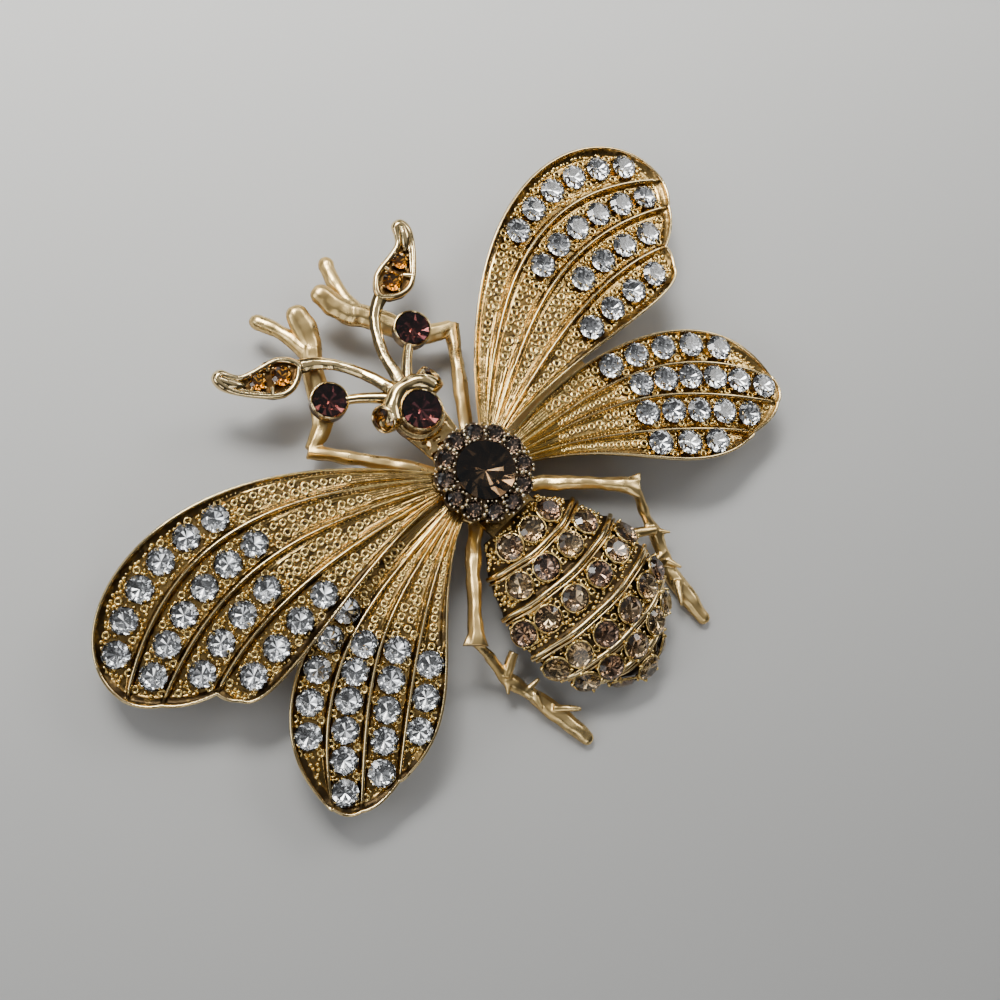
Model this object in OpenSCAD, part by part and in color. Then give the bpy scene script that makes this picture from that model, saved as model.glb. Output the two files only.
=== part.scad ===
// Insect brooch in gold plated castings set with cut stones, in millimetres.
// X runs across the wings, Y towards the head, Z up from the surface that it lies on.

/* [Forewings] */
// Reach of a forewing from the centre line to its tip
fore_reach = 29.9; // [27:0.1:33]
// Depth of a forewing from the centre line to its front edge
fore_depth = 13.6; // [12.5:0.1:15]
// How far the wing tip droops below its root
fore_droop = 2.6; // [1.5:0.1:3.4]
// Turn of the forewing pair on the rivet, in degrees
fore_turn = 2.2; // [0:0.1:3]
// Thickness of the forewing casting
fore_wall = 0.6; // [0.5:0.05:0.65]

/* [Hindwings] */
// Reach of a hindwing from the centre line to its tip
hind_reach = 24.6; // [22:0.1:27]
// Depth of a hindwing from the centre line to its rear edge
hind_depth = 12.2; // [11:0.1:13.5]
// How far the wing tip droops below its root
hind_droop = 1.3; // [0.8:0.1:1.8]
// How far the front lane dips to pass under the forewing
hind_dip = 1.0; // [0.9:0.05:1.3]
// Turn of the hindwing pair on the rivet, in degrees
hind_turn = -0.35; // [-1:0.05:1]
// Thickness of the hindwing casting
hind_wall = 0.6; // [0.5:0.05:0.7]

/* [Wing relief] */
// Height of the ribs between the lanes of a forewing
fore_rib = 0.4; // [0.25:0.05:0.45]
// Height of the ribs between the lanes of a hindwing
hind_rib = 0.3; // [0.2:0.02:0.32]
// Height of the fine ridges near the wing root
ridge_rise = 0.14; // [0.08:0.01:0.2]
// Depth of the stone channels below the ridged root
channel_drop = 0.15; // [0.1:0.01:0.2]
// How far the rounded ends of the lanes reach past the rib ends
lobe_reach = 0.5; // [0.2:0.05:0.8]

/* [Stones] */
// Diameter of the clear stones in the wings
wing_stone = 2.0; // [1.7:0.05:2.05]
// Diameter of the brown stones on the abdomen
abdomen_stone = 2.0; // [1.7:0.05:2.05]
// Diameter of the small stones round the thorax stone
halo_stone = 1.28; // [1.1:0.02:1.32]
// Diameter of the large thorax stone
thorax_stone_d = 4.5; // [4.2:0.05:4.6]
// Diameter of the stone on the head
head_stone_d = 2.9; // [2.6:0.05:3.1]
// Diameter of an eye stone
eye_stone_d = 1.7; // [1.4:0.05:1.8]
// Diameter of the round stone on a short antenna
antenna_stone_d = 2.5; // [2.2:0.05:2.7]
// Diameter of the leaf stone next to the antenna
leaf_inner_d = 1.55; // [1.3:0.05:1.6]
// Diameter of the leaf stone nearer to the tip
leaf_outer_d = 1.3; // [1.1:0.05:1.35]
// How much higher the stones of the hindwings sit than those of the forewings
hind_lift = 0.1; // [0.08:0.01:0.15]
// Gap between a stone and the metal it sits in
stone_gap = 0.05; // [0.03:0.01:0.08]

/* [Rivet stack] */
// Radius of the rivet post
rivet_r = 0.9; // [0.8:0.05:1]
// Gap between the post and the holes that it passes
rivet_gap = 0.05; // [0.03:0.01:0.08]
// Gap between two plates of the stack
plate_gap = 0.05; // [0.03:0.01:0.08]
// Radius of the round plates of the castings
plate_r = 3.2; // [3:0.05:3.4]
// Thickness of the back bar
bar_wall = 0.75; // [0.65:0.05:0.85]
// Thickness of the leg plate
leg_plate = 0.5; // [0.45:0.05:0.6]
// Thickness of the abdomen tab
abdomen_tab = 0.45; // [0.4:0.05:0.5]
// Thickness of the head tab
head_tab = 0.4; // [0.35:0.05:0.45]
// Height of the back bar above the surface that it lies on
bar_z = 2.0; // [1.9:0.05:2.2]

/* [Thorax setting] */
// Radius from the centre to the halo stones
halo_ring_r = 3.02; // [2.95:0.01:3.1]
// Number of stones in the halo
halo_count = 12; // [12:1:12]
// Thickness of the scalloped base
crown_wall = 0.4; // [0.35:0.05:0.5]
// Radius of one claw bead
claw_r = 0.17; // [0.14:0.01:0.18]
// Height of the seat of the thorax stone above the base
thorax_seat = 0.15; // [0.1:0.05:0.3]

/* [Abdomen] */
// Distance from the centre to the front edge of the abdomen
abdomen_front = 3.9; // [3.9:0.05:4.1]
// Length of the abdomen
abdomen_length = 15.4; // [14:0.1:16.5]
// Width of the abdomen
abdomen_width = 13.0; // [12:0.1:13.2]
// Height of the dome above its flat back
abdomen_rise = 3.0; // [2.5:0.05:3.3]
// Height of the flat back above the surface that the brooch lies on
abdomen_base = 2.3; // [2.2:0.05:2.6]
// Height of the polished cross ridges
band_rise = 0.32; // [0.2:0.02:0.4]
// Width of the polished cross ridges
band_width = 0.62; // [0.5:0.02:0.7]
// How far the rows curve towards the head at the sides
row_bow = 0.95; // [0.6:0.05:1.2]

/* [Head] */
// Distance from the centre to the head stone
head_y = 6.6; // [6.4:0.05:6.9]
// Height of the rim of the head stone's cup
head_top = 5.85; // [5.7:0.05:6.1]
// Wall of a stone cup
cup_wall = 0.16; // [0.12:0.01:0.2]
// Distance from the centre line to an eye
eye_x = 2.6; // [2.5:0.05:2.8]
// Width of an antenna
antenna_width = 1.0; // [0.8:0.05:1.1]
// Half the distance between the round antenna stones
antenna_x = 4.35; // [4.2:0.05:4.6]
// Distance from the centre to the round antenna stones
antenna_y = 11.76; // [11.5:0.05:12]
// Length of a leaf from its root to its tip
leaf_length = 6.8; // [6.4:0.1:7.2]
// Width of a leaf
leaf_width = 3.0; // [2.9:0.05:3.3]
// Thickness of a leaf
leaf_wall = 0.85; // [0.75:0.05:0.95]
// Wall round the hollow of a leaf
leaf_rim = 0.32; // [0.25:0.01:0.34]

/* [Legs] */
// Thickness of a leg at the thigh
leg_thick = 1.15; // [0.9:0.05:1.3]
// Reach of the front legs from the centre to the fork tips
front_leg_reach = 20.5; // [20:0.1:21]
// Reach of the rear legs from the centre to the foot tips
rear_leg_reach = 20.6; // [20.2:0.1:21.2]
// Width of a foot
foot_width = 1.5; // [1.2:0.05:1.7]

/* [Brooch pin] */
// Length of the back bar
bar_length = 27; // [24:0.5:28]
// Width of the back bar
bar_width = 2.6; // [2.2:0.1:2.8]
// Distance of the pin from the centre, towards the head
pin_y = 1.6; // [1.4:0.05:1.8]
// Radius of the pin wire
wire_r = 0.4; // [0.35:0.01:0.45]
// Wall of the catch
catch_wall = 0.45; // [0.4:0.01:0.5]

/* [Hidden] */

antique_gold = [0.72, 0.56, 0.29];
pale_gold = [0.83, 0.74, 0.54];
bright_gold = [0.80, 0.65, 0.38];
clear_glass = [0.86, 0.89, 0.93];
brown_glass = [0.42, 0.31, 0.25];
plum_glass = [0.27, 0.13, 0.15];
amber_glass = [0.80, 0.48, 0.12];
smoke_glass = [0.13, 0.10, 0.09];

right = 1;
left = -1;
round_fn = 32;
small_fn = 20;
// How far a cut runs past what it cuts
cut_past = 1;

// Heights of the plates of the stack, from the back bar up
leg_z = bar_z + bar_wall + plate_gap;
abdomen_tab_z = leg_z + leg_plate + plate_gap;
head_tab_z = abdomen_tab_z + abdomen_tab + plate_gap;
hind_plate_z = head_tab_z + head_tab + plate_gap;
hind_top = hind_plate_z + hind_wall;
relief_room = 0.12;
fore_plate_z = hind_top + relief_room + plate_gap;
fore_top = fore_plate_z + fore_wall;
crown_z = fore_top + relief_room + plate_gap;

// Rails of a forewing, as shares of its reach and depth, from the front edge to the rear edge
// Columns: root y, first pull x, first pull y, second pull x, second pull y, end x, end y
FORE_RAILS = [
    [0.190, 0.535, 1.410, 1.020, 1.030, 0.997, 0.530],
    [0.147, 0.395, 0.706, 0.662, 0.978, 0.993, 0.478],
    [0.107, 0.378, 0.419, 0.595, 0.676, 0.943, 0.335],
    [0.074, 0.314, 0.213, 0.615, 0.360, 0.836, 0.176],
    [0.059, 0.368, 0.169, 0.773, -0.140, 0.809, 0.059]
];

// Rails of a hindwing, with the same columns
HIND_RAILS = [
    [0.037, 0.471, 0.207, 1.025, -0.008, 1.000, -0.802],
    [0.000, 0.369, -0.107, 0.750, 0.000, 0.996, -0.843],
    [-0.033, 0.533, -0.223, 0.631, -0.314, 0.943, -0.967],
    [-0.066, 0.344, -0.223, 0.623, -0.661, 0.803, -0.992],
    [-0.099, 0.439, -0.388, 0.492, -0.967, 0.766, -1.000]
];

// Stones of each lane, from the front edge to the rear edge
// Columns: number of stones, place of the first and of the last as shares of the lane's length,
// share of the lobe reach
FORE_LANES = [
    [6, 0.519, 0.894, 0.1],
    [6, 0.517, 0.928, 0.4],
    [4, 0.622, 0.920, 0.7],
    [4, 0.554, 0.892, 0.5]
];
HIND_LANES = [
    [5, 0.442, 0.800, 0.4],
    [6, 0.520, 0.944, 0.7],
    [5, 0.536, 0.922, 0.9],
    [3, 0.595, 0.831, 0.4]
];
fore_lane_middle = 0.51;
hind_lane_middle = 0.47;

// Section across one lane
// Columns: share of the lane's width, share of the rib's height, share of the fine ridge's height
LANE_PROFILE = [
    [0.00, 1, 0],
    [0.11, 0, 0],
    [0.34, 0, 0],
    [0.42, 0, 1],
    [0.50, 0, 0.2],
    [0.58, 0, 1],
    [0.66, 0, 0],
    [0.89, 0, 0]
];
profile_steps = len(LANE_PROFILE);
lane_count = 4;
column_count = lane_count * profile_steps + 1;

// Stations along a wing as shares of a lane's length, the last four form the raised rim
WING_STATIONS = [0, 0.08, 0.18, 0.30, 0.42, 0.49, 0.56, 0.65, 0.74, 0.83, 0.91, 0.955, 0.975, 1];
station_last = len(WING_STATIONS) - 1;
rim_start = 0.955;
rim_crest = 0.975;
rim_outer_share = 0.7;
root_rib_share = 0.25;
ridge_fade = 0.07;
wing_root_x = 2.6;
rail_steps = 20;

// Columns of the rail and lane tables
PULL_1 = 1;
PULL_2 = 3;
END = 5;

function total(list, last) = last < 0 ? 0 : list[last] + total(list, last - 1);
function blend(low, high, value) =
    let (t = min(1, max(0, (value - low) / (high - low)))) t * t * (3 - 2 * t);
function bend(a, b, c, d, t) =
    pow(1 - t, 3) * a + 3 * pow(1 - t, 2) * t * b + 3 * (1 - t) * t * t * c + pow(t, 3) * d;

// One rail in plan at the curve value t
function rail_curve(rail, reach, depth, t) =
    bend([wing_root_x, rail[0] * depth],
         [rail[PULL_1] * reach, rail[PULL_1 + 1] * depth],
         [rail[PULL_2] * reach, rail[PULL_2 + 1] * depth],
         [rail[END] * reach, rail[END + 1] * depth], t);

// Table that turns a share of a rail's length into its curve value
function rail_pace(rail, reach, depth) =
    let (points = [for (i = [0:rail_steps]) rail_curve(rail, reach, depth, i / rail_steps)],
         parts = [for (i = [1:rail_steps]) norm(points[i] - points[i - 1])],
         whole = total(parts, rail_steps - 1))
    [for (i = [0:rail_steps]) [total(parts, i - 1) / whole, i / rail_steps]];

fore_paces = [for (rail = FORE_RAILS) rail_pace(rail, fore_reach, fore_depth)];
hind_paces = [for (rail = HIND_RAILS) rail_pace(rail, hind_reach, hind_depth)];

// One wing as a list of its rails, paces, reach, depth and lanes, and whether it is a hindwing
FORE = [FORE_RAILS, fore_paces, fore_reach, fore_depth, FORE_LANES, false];
HIND = [HIND_RAILS, hind_paces, hind_reach, hind_depth, HIND_LANES, true];
RAILS = 0;
PACES = 1;
REACH = 2;
DEPTH = 3;
LANES = 4;
IS_HIND = 5;

function rail_plan(wing, k, s) =
    rail_curve(wing[RAILS][k], wing[REACH], wing[DEPTH], lookup(s, wing[PACES][k]));

// Height of the plain wing surface, where across runs from 0 at the front edge to 1 at the rear
dip_end = 0.5;
function wing_height(wing, x, across, s) = wing[IS_HIND]
    ? hind_top - hind_dip * (1 - across) * sin(90 * min(1, s / dip_end)) - hind_droop * pow(s, 5)
    : fore_top - fore_droop * pow(x / fore_reach, 3);

// Point of the plain surface in lane k at the share v of its width and s of its length
function wing_point(wing, k, v, s) =
    let (front = rail_plan(wing, k, s),
         rear = rail_plan(wing, k + 1, s),
         ahead = rail_plan(wing, k, s) + rail_plan(wing, k + 1, s)
               - rail_plan(wing, k, s - 0.02) - rail_plan(wing, k + 1, s - 0.02),
         lobe = s > 0.9 ? wing[LANES][k][3] * lobe_reach * 4 * v * (1 - v) * blend(0.9, 1, s) : 0,
         plan = front + (rear - front) * v + (s > 0.9 ? ahead / norm(ahead) * lobe : [0, 0]))
    [plan[0], plan[1], wing_height(wing, plan[0], (k + v) / lane_count, s)];

// Relief on that surface, for column c of the lane's profile
function wing_relief(wing, k, c, s) =
    let (lane = wing[LANES][min(k, lane_count - 1)],
         rooted = 1 - blend(lane[1] - 2 * ridge_fade, lane[1] - ridge_fade, s),
         rim = s < rim_start + 0.001 ? 0 : (s < rim_crest + 0.001 ? 1 : rim_outer_share),
         grown = root_rib_share + (1 - root_rib_share) * blend(0.05, 0.5, s),
         row = LANE_PROFILE[c],
         rib = max(row[1] * grown, rim))
    rib * (wing[IS_HIND] ? hind_rib : fore_rib) + (1 - max(row[1], rim)) * (row[2] * ridge_rise * rooted
        * blend(0, 0.12, s) - channel_drop * (1 - rooted));

function top_point(wing, column, s) =
    let (k = min(floor(column / profile_steps), lane_count - 1),
         c = column - k * profile_steps,
         edge = c == profile_steps,
         v = edge ? 1 : LANE_PROFILE[c][0],
         p = wing_point(wing, k, v, s))
    [p[0], p[1], p[2] + wing_relief(wing, k, edge ? 0 : c, s)];

function wall_of(wing) = wing[IS_HIND] ? hind_wall : fore_wall;
function back_point(wing, k, s) =
    let (p = k < lane_count ? wing_point(wing, k, 0, s) : wing_point(wing, k - 1, 1, s))
    [p[0], p[1], p[2] - wall_of(wing)];

// Two triangles over the cell with corners a, b, c, d
function cell(a, b, c, d) = [[a, b, c], [a, c, d]];
function flat_list(lists) = [for (list = lists) each list];
function reversed(list) = [for (i = [len(list) - 1:-1:0]) list[i]];

// A wing: a fine top sheet and a plain back joined by walls, the right hand one
module wing_blade(wing) {
    top = [for (s = WING_STATIONS, i = [0:column_count - 1]) top_point(wing, i, s)];
    back = [for (s = WING_STATIONS, k = [0:lane_count]) back_point(wing, k, s)];
    first_back = len(top);
    back_count = lane_count + 1;
    middle = profile_steps / 2;
    top_faces = flat_list([for (j = [0:station_last - 1], i = [0:column_count - 2])
        cell(j * column_count + i, j * column_count + i + 1,
             (j + 1) * column_count + i + 1, (j + 1) * column_count + i)]);
    back_faces = flat_list([for (j = [0:station_last - 1], k = [0:lane_count - 1])
        cell(first_back + j * back_count + k, first_back + (j + 1) * back_count + k,
             first_back + (j + 1) * back_count + k + 1, first_back + j * back_count + k + 1)]);
    front_wall = flat_list([for (j = [0:station_last - 1])
        cell(j * column_count, (j + 1) * column_count,
             first_back + (j + 1) * back_count, first_back + j * back_count)]);
    rear_wall = flat_list([for (j = [0:station_last - 1])
        cell((j + 1) * column_count - 1, first_back + (j + 1) * back_count - 1,
             first_back + (j + 2) * back_count - 1, (j + 2) * column_count - 1)]);
    root_wall = flat_list([for (k = [0:lane_count - 1])
        let (t = k * profile_steps, b = first_back + k) concat(
            [for (i = [0:middle - 1]) [t + i + 1, t + i, b]],
            [[t + middle, b, b + 1]],
            [for (i = [middle:profile_steps - 1]) [t + i + 1, t + i, b + 1]])]);
    end_top = station_last * column_count;
    end_back = first_back + station_last * back_count;
    end_wall = flat_list([for (k = [0:lane_count - 1])
        let (t = end_top + k * profile_steps, b = end_back + k) concat(
            [for (i = [0:middle - 1]) [t + i, t + i + 1, b]],
            [[b, t + middle, b + 1]],
            [for (i = [middle:profile_steps - 1]) [t + i, t + i + 1, b + 1]])]);
    polyhedron(points = concat(top, back), convexity = 6,
        faces = [for (face = concat(top_faces, back_faces, front_wall, rear_wall, root_wall, end_wall))
            reversed(face)]);
}

// Both wings of a pair on their round plate, with the rivet hole
module wing_pair(wing, plate_z, turn) {
    wall = wall_of(wing);
    rotate([0, 0, turn]) difference() {
        union() {
            wing_blade(wing);
            mirror([1, 0, 0]) wing_blade(wing);
            translate([0, 0, plate_z]) cylinder(h = wall, r = plate_r, $fn = round_fn);
        }
        translate([0, 0, plate_z - cut_past])
            cylinder(h = wall + 2 * cut_past, r = rivet_r + rivet_gap, $fn = round_fn);
    }
}

// A cut stone on the plane of its girdle: an octagon table, sixteen crown facets and a point
stone_crown_share = 0.15;
stone_girdle_share = 0.04;
stone_point_share = 0.17;
stone_table_share = 0.56;
module cut_stone(d, sides = 8, deep = 1) {
    r = d / 2;
    t = d * deep;
    step = 360 / sides;
    table = [for (i = [0:sides - 1]) let (a = (i + 0.5) * step)
        [stone_table_share * r * cos(a), stone_table_share * r * sin(a), stone_crown_share * t]];
    upper = [for (i = [0:sides - 1]) [r * cos(i * step), r * sin(i * step), 0]];
    lower = [for (p = upper) [p[0], p[1], -stone_girdle_share * t]];
    tip = [[0, 0, -(stone_girdle_share + stone_point_share) * t]];
    n = sides;
    polyhedron(points = concat(table, upper, lower, tip), convexity = 2, faces = concat(
        [[for (i = [n - 1:-1:0]) i]],
        [for (i = [0:n - 1]) [i, n + (i + 1) % n, n + i]],
        [for (i = [0:n - 1]) [i, (i + 1) % n, n + (i + 1) % n]],
        flat_list([for (i = [0:n - 1]) let (k = (i + 1) % n) cell(n + i, n + k, 2 * n + k, 2 * n + i)]),
        [for (i = [0:n - 1]) [2 * n + i, 2 * n + (i + 1) % n, 3 * n]]));
}
function stone_depth(d) = (stone_girdle_share + stone_point_share) * d;

// Turns what stands on +Z to stand on the direction n
module stand_on(n) {
    m = n / norm(n);
    rotate(a = acos(m[2]), v = abs(m[2]) > 0.99999 ? [1, 0, 0] : [-m[1], m[0], 0]) children();
}

// Stones of one wing, on their lanes
module lane_stones(wing, middle, turn, side) {
    probe = 0.02;
    rotate([0, 0, turn]) mirror([side == left ? 1 : 0, 0, 0])
        for (k = [0:lane_count - 1], i = [0:wing[LANES][k][0] - 1]) {
            lane = wing[LANES][k];
            s = lane[1] + (lane[2] - lane[1]) * i / (lane[0] - 1);
            here = wing_point(wing, k, middle, s);
            along = wing_point(wing, k, middle, min(s + probe, 0.99))
                  - wing_point(wing, k, middle, min(s + probe, 0.99) - 2 * probe);
            over = wing_point(wing, k, 0, s) - wing_point(wing, k, 1, s);
            normal = cross(along, over) / norm(cross(along, over));
            seat = stone_gap + stone_depth(wing_stone) - channel_drop + (wing[IS_HIND] ? hind_lift : 0);
            translate(here + normal * seat) stand_on(normal) cut_stone(wing_stone);
        }
}

// Smooth run through the rows of a table, with steps points for each row
function run_weight(a, b, c, d, t) = 0.5 * (2 * b + (c - a) * t + (2 * a - 5 * b + 4 * c - d) * t * t
    + (3 * b - a - 3 * c + d) * t * t * t);
function smooth_rows(rows, steps) =
    let (n = len(rows) - 1)
    [for (i = [0:n * steps])
        let (k = min(floor(i / steps), n - 1), t = i / steps - k)
        run_weight(rows[max(k - 1, 0)], rows[k], rows[k + 1], rows[min(k + 2, n)], t)];

// A bar with an oval section that follows rows of x, y, z, width and thickness
module oval_bar(rows, sides = 8) {
    n = len(rows) - 1;
    rings = [for (i = [0:n])
        let (here = [rows[i][0], rows[i][1], rows[i][2]],
             before = rows[max(i - 1, 0)],
             after = rows[min(i + 1, n)],
             run = [after[0] - before[0], after[1] - before[1], after[2] - before[2]],
             way = run / norm(run),
             flat = cross([0, 0, 1], way),
             out = flat / norm(flat),
             up = cross(way, out))
        for (j = [0:sides - 1]) let (a = (j + 0.5) * 360 / sides)
            here + out * rows[i][3] / 2 * cos(a) + up * rows[i][4] / 2 * sin(a)];
    faces = concat(
        [[for (j = [0:sides - 1]) j]],
        flat_list([for (i = [0:n - 1], j = [0:sides - 1]) let (k = (j + 1) % sides)
            cell(i * sides + j, (i + 1) * sides + j, (i + 1) * sides + k, i * sides + k)]),
        [[for (j = [sides - 1:-1:0]) n * sides + j]]);
    polyhedron(points = rings, faces = faces, convexity = 6);
}

// Rows whose last end is rounded off over a share of its half thickness
function rounded_end(rows, share) =
    let (n = len(rows) - 1,
         last = rows[n],
         way = [for (i = [0:2]) last[i] - rows[n - 1][i]],
         reach = last[4] / 2 * share / norm(way))
    concat(rows, [[last[0] + way[0] * reach * 0.6, last[1] + way[1] * reach * 0.6,
                   last[2] + way[2] * reach * 0.6, last[3] * 0.8, last[4] * 0.8],
                  [last[0] + way[0] * reach, last[1] + way[1] * reach,
                   last[2] + way[2] * reach, last[3] * 0.4, last[4] * 0.4]]);

module both_sides() {
    children();
    mirror([1, 0, 0]) children();
}

module forewings() {
    color(antique_gold) wing_pair(FORE, fore_plate_z, fore_turn);
}

module hindwings() {
    color(antique_gold) wing_pair(HIND, hind_plate_z, hind_turn);
}

// Abdomen sections, as shares of its length, half width and rise
// Columns: place along the length, half width, rise, drop of the flat back towards the tail
ABDOMEN_FORM = [
    [0.00, 0.46, 0.66, 0.00],
    [0.10, 0.59, 0.88, 0.00],
    [0.25, 0.79, 0.98, 0.00],
    [0.40, 0.94, 1.00, 0.00],
    [0.55, 1.00, 0.97, 0.00],
    [0.70, 0.97, 0.86, 0.03],
    [0.80, 0.88, 0.76, 0.08],
    [0.90, 0.69, 0.60, 0.15],
    [0.96, 0.48, 0.42, 0.20],
    [1.00, 0.30, 0.20, 0.25]
];
// Places of the cross ridges along the abdomen
BAND_AT = [0.199, 0.390, 0.620, 0.800, 0.925];
// Rows of stones on the abdomen
// Columns: place along the length, number of stones, angle between two stones
STONE_ROWS = [
    [0.110, 3, 31],
    [0.292, 4, 27],
    [0.494, 6, 24],
    [0.720, 6, 24.5],
    [0.866, 5, 30],
    [0.985, 3, 52]
];
across_steps = 12;
dome_edge = 72;
abdomen_centre_y = -abdomen_front;

function abdomen_width_at(a) = lookup(a, [for (row = ABDOMEN_FORM) [row[0], row[1]]]) * abdomen_width / 2;
function abdomen_rise_at(a) = lookup(a, [for (row = ABDOMEN_FORM) [row[0], row[2]]]) * abdomen_rise;
function abdomen_drop_at(a) = lookup(a, [for (row = ABDOMEN_FORM) [row[0], row[3]]]) * abdomen_rise;
// Point of the dome at the share a of its length and the angle q from its middle
function dome_point(a, q, lift) =
    [abdomen_width_at(a) * sin(q) + lift * sin(q),
     abdomen_centre_y - a * abdomen_length + row_bow * pow(sin(q), 2) * blend(0, 0.2, a),
     abdomen_base - abdomen_drop_at(a) + (abdomen_rise_at(a) + lift) * cos(q)];

band_half = band_width / 2 / abdomen_length;
dome_stations = concat([[0, 0]],
    flat_list([for (i = [0:len(BAND_AT) - 1])
        [[(i == 0 ? BAND_AT[0] / 2 : (BAND_AT[i - 1] + BAND_AT[i]) / 2), 0],
         [BAND_AT[i] - band_half, 0], [BAND_AT[i], 1], [BAND_AT[i] + band_half, 0]]]),
    [[0.96, 0], [1, 0]]);

module abdomen_dome() {
    ring = across_steps + 3;
    last = len(dome_stations) - 1;
    points = [for (d = dome_stations, i = [-1:across_steps + 1])
        let (q = dome_edge * (2 * min(max(i, 0), across_steps) / across_steps - 1),
             p = dome_point(d[0], q, d[1] * band_rise),
             back = dome_point(d[0], q, 0))
        i < 0 || i > across_steps
            ? [back[0] * 0.96, back[1], abdomen_base - abdomen_drop_at(d[0])] : p];
    polyhedron(points = points, convexity = 6, faces = concat(
        flat_list([for (j = [0:last - 1], i = [0:ring - 2])
            cell(j * ring + i, j * ring + i + 1, (j + 1) * ring + i + 1, (j + 1) * ring + i)]),
        flat_list([for (j = [0:last - 1])
            cell(j * ring, (j + 1) * ring, (j + 1) * ring + ring - 1, j * ring + ring - 1)]),
        [[for (i = [ring - 1:-1:0]) i]],
        [[for (i = [0:ring - 1]) last * ring + i]]));
}

module abdomen() {
    tab_half = plate_r * 0.7;
    color(antique_gold) difference() {
        union() {
            abdomen_dome();
            translate([0, 0, abdomen_tab_z]) cylinder(h = abdomen_tab, r = tab_half, $fn = round_fn);
            translate([-tab_half, -abdomen_front - 1, abdomen_tab_z])
                cube([2 * tab_half, abdomen_front + 1, abdomen_tab]);
        }
        translate([0, 0, abdomen_tab_z - cut_past])
            cylinder(h = abdomen_tab + 2 * cut_past, r = rivet_r + rivet_gap, $fn = round_fn);
    }
}

module abdomen_stones() {
    seat = stone_gap + stone_depth(abdomen_stone);
    probe = 0.01;
    turn_probe = 2;
    color(brown_glass) for (row = STONE_ROWS, i = [0:row[1] - 1]) {
        q = (i - (row[1] - 1) / 2) * row[2];
        along = dome_point(row[0] - probe, q, 0) - dome_point(row[0] + probe, q, 0);
        over = dome_point(row[0], q + turn_probe, 0) - dome_point(row[0], q - turn_probe, 0);
        normal = cross(over, along) / norm(cross(over, along));
        translate(dome_point(row[0], q, 0) + normal * seat) stand_on(normal) cut_stone(abdomen_stone);
    }
}

// Scalloped setting: base, lobes, claws, seat and rivet
lobe_r = halo_stone / 2 + claw_r * 1.2;
halo_step = 360 / halo_count;
halo_z = crown_z + crown_wall + stone_gap + stone_depth(halo_stone);
thorax_deep = 0.6;
thorax_z = crown_z + crown_wall + thorax_seat + stone_gap + stone_depth(thorax_stone_d) * thorax_deep;
claw_height = stone_depth(halo_stone) + stone_gap + 0.12;
claw_outer_r = halo_ring_r + halo_stone * 0.27;
rivet_head_r = 1.5;
rivet_head_wall = 0.5;

module thorax_crown() {
    top = crown_z + crown_wall;
    color(antique_gold) union() {
        translate([0, 0, crown_z]) cylinder(h = crown_wall, r = halo_ring_r, $fn = round_fn);
        for (i = [0:halo_count - 1]) rotate([0, 0, i * halo_step])
            translate([halo_ring_r, 0, crown_z]) cylinder(h = crown_wall, r = lobe_r, $fn = small_fn);
        for (i = [0:halo_count - 1]) rotate([0, 0, (i + 0.5) * halo_step])
            translate([claw_outer_r, 0, top - 0.1]) cylinder(h = claw_height + 0.1, r = claw_r, $fn = 16);
        translate([0, 0, top - 0.1])
            cylinder(h = thorax_seat + 0.1, r = thorax_stone_d / 2 - 0.2, $fn = round_fn);
        translate([0, 0, bar_z - plate_gap - rivet_head_wall])
            cylinder(h = crown_z + 0.1 - bar_z + plate_gap + rivet_head_wall, r = rivet_r, $fn = round_fn);
        translate([0, 0, bar_z - plate_gap - rivet_head_wall])
            cylinder(h = rivet_head_wall, r = rivet_head_r, $fn = round_fn);
    }
}

module halo_stones() {
    color(brown_glass) for (i = [0:halo_count - 1]) rotate([0, 0, i * halo_step])
        translate([halo_ring_r, 0, halo_z]) cut_stone(halo_stone);
}

module thorax_stone() {
    color(smoke_glass) translate([0, 0, thorax_z]) cut_stone(thorax_stone_d, 16, thorax_deep);
}

// A cup for a round stone, whose rim stands at z = 0
module stone_cup(d, depth) {
    outer = d / 2 + stone_gap + cup_wall;
    floor_z = -stone_depth(d) - stone_gap;
    difference() {
        translate([0, 0, -depth]) cylinder(h = depth, r = outer, $fn = round_fn);
        translate([0, 0, floor_z]) cylinder(h = depth, r = d / 2 + stone_gap, $fn = round_fn);
    }
}

eye_y = head_y + 1.35;
eye_z = head_top - 0.5;
eye_way = [0.80, 0.05, 0.60];
head_cup_depth = 1.5;
eye_cup_depth = 1.2;
antenna_top = 4.65;
antenna_cup_depth = 1.0;
stone_over_rim = 0.04;

module at_eye() {
    translate([eye_x, eye_y, eye_z]) stand_on(eye_way) children();
}

// A leaf in plan with its root at the origin and its tip along +X
// Columns: share of the length, share of the width, where the belly is negative
LEAF_OUTLINE = [
    [0.020, 0.00],
    [0.060, -0.30],
    [0.140, -0.56],
    [0.250, -0.70],
    [0.390, -0.71],
    [0.530, -0.62],
    [0.680, -0.48],
    [0.820, -0.33],
    [0.930, -0.16],
    [1.000, 0.00],
    [0.990, 0.11],
    [0.940, 0.12],
    [0.850, 0.00],
    [0.740, -0.09],
    [0.600, 0.03],
    [0.470, 0.16],
    [0.350, 0.25],
    [0.240, 0.28],
    [0.120, 0.21],
    [0.050, 0.11]
];
leaf_root = [3.95, 15.0];
leaf_turn = 32;
leaf_top = 4.75;
leaf_hollow = 0.4;
// Share of the leaf's length that is hollow
leaf_hollow_end = 0.82;
// Places of the two stones along the leaf, as shares of its length and width
LEAF_STONES = [[0.262, -0.19], [0.530, -0.25]];

function leaf_plan(inset) = [for (p = LEAF_OUTLINE)
    let (middle = [0.42 * leaf_length, -0.22 * leaf_width],
         q = [p[0] * leaf_length, p[1] * leaf_width] - middle)
    middle + q * (1 - inset / norm(q) * 1.15)];

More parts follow.
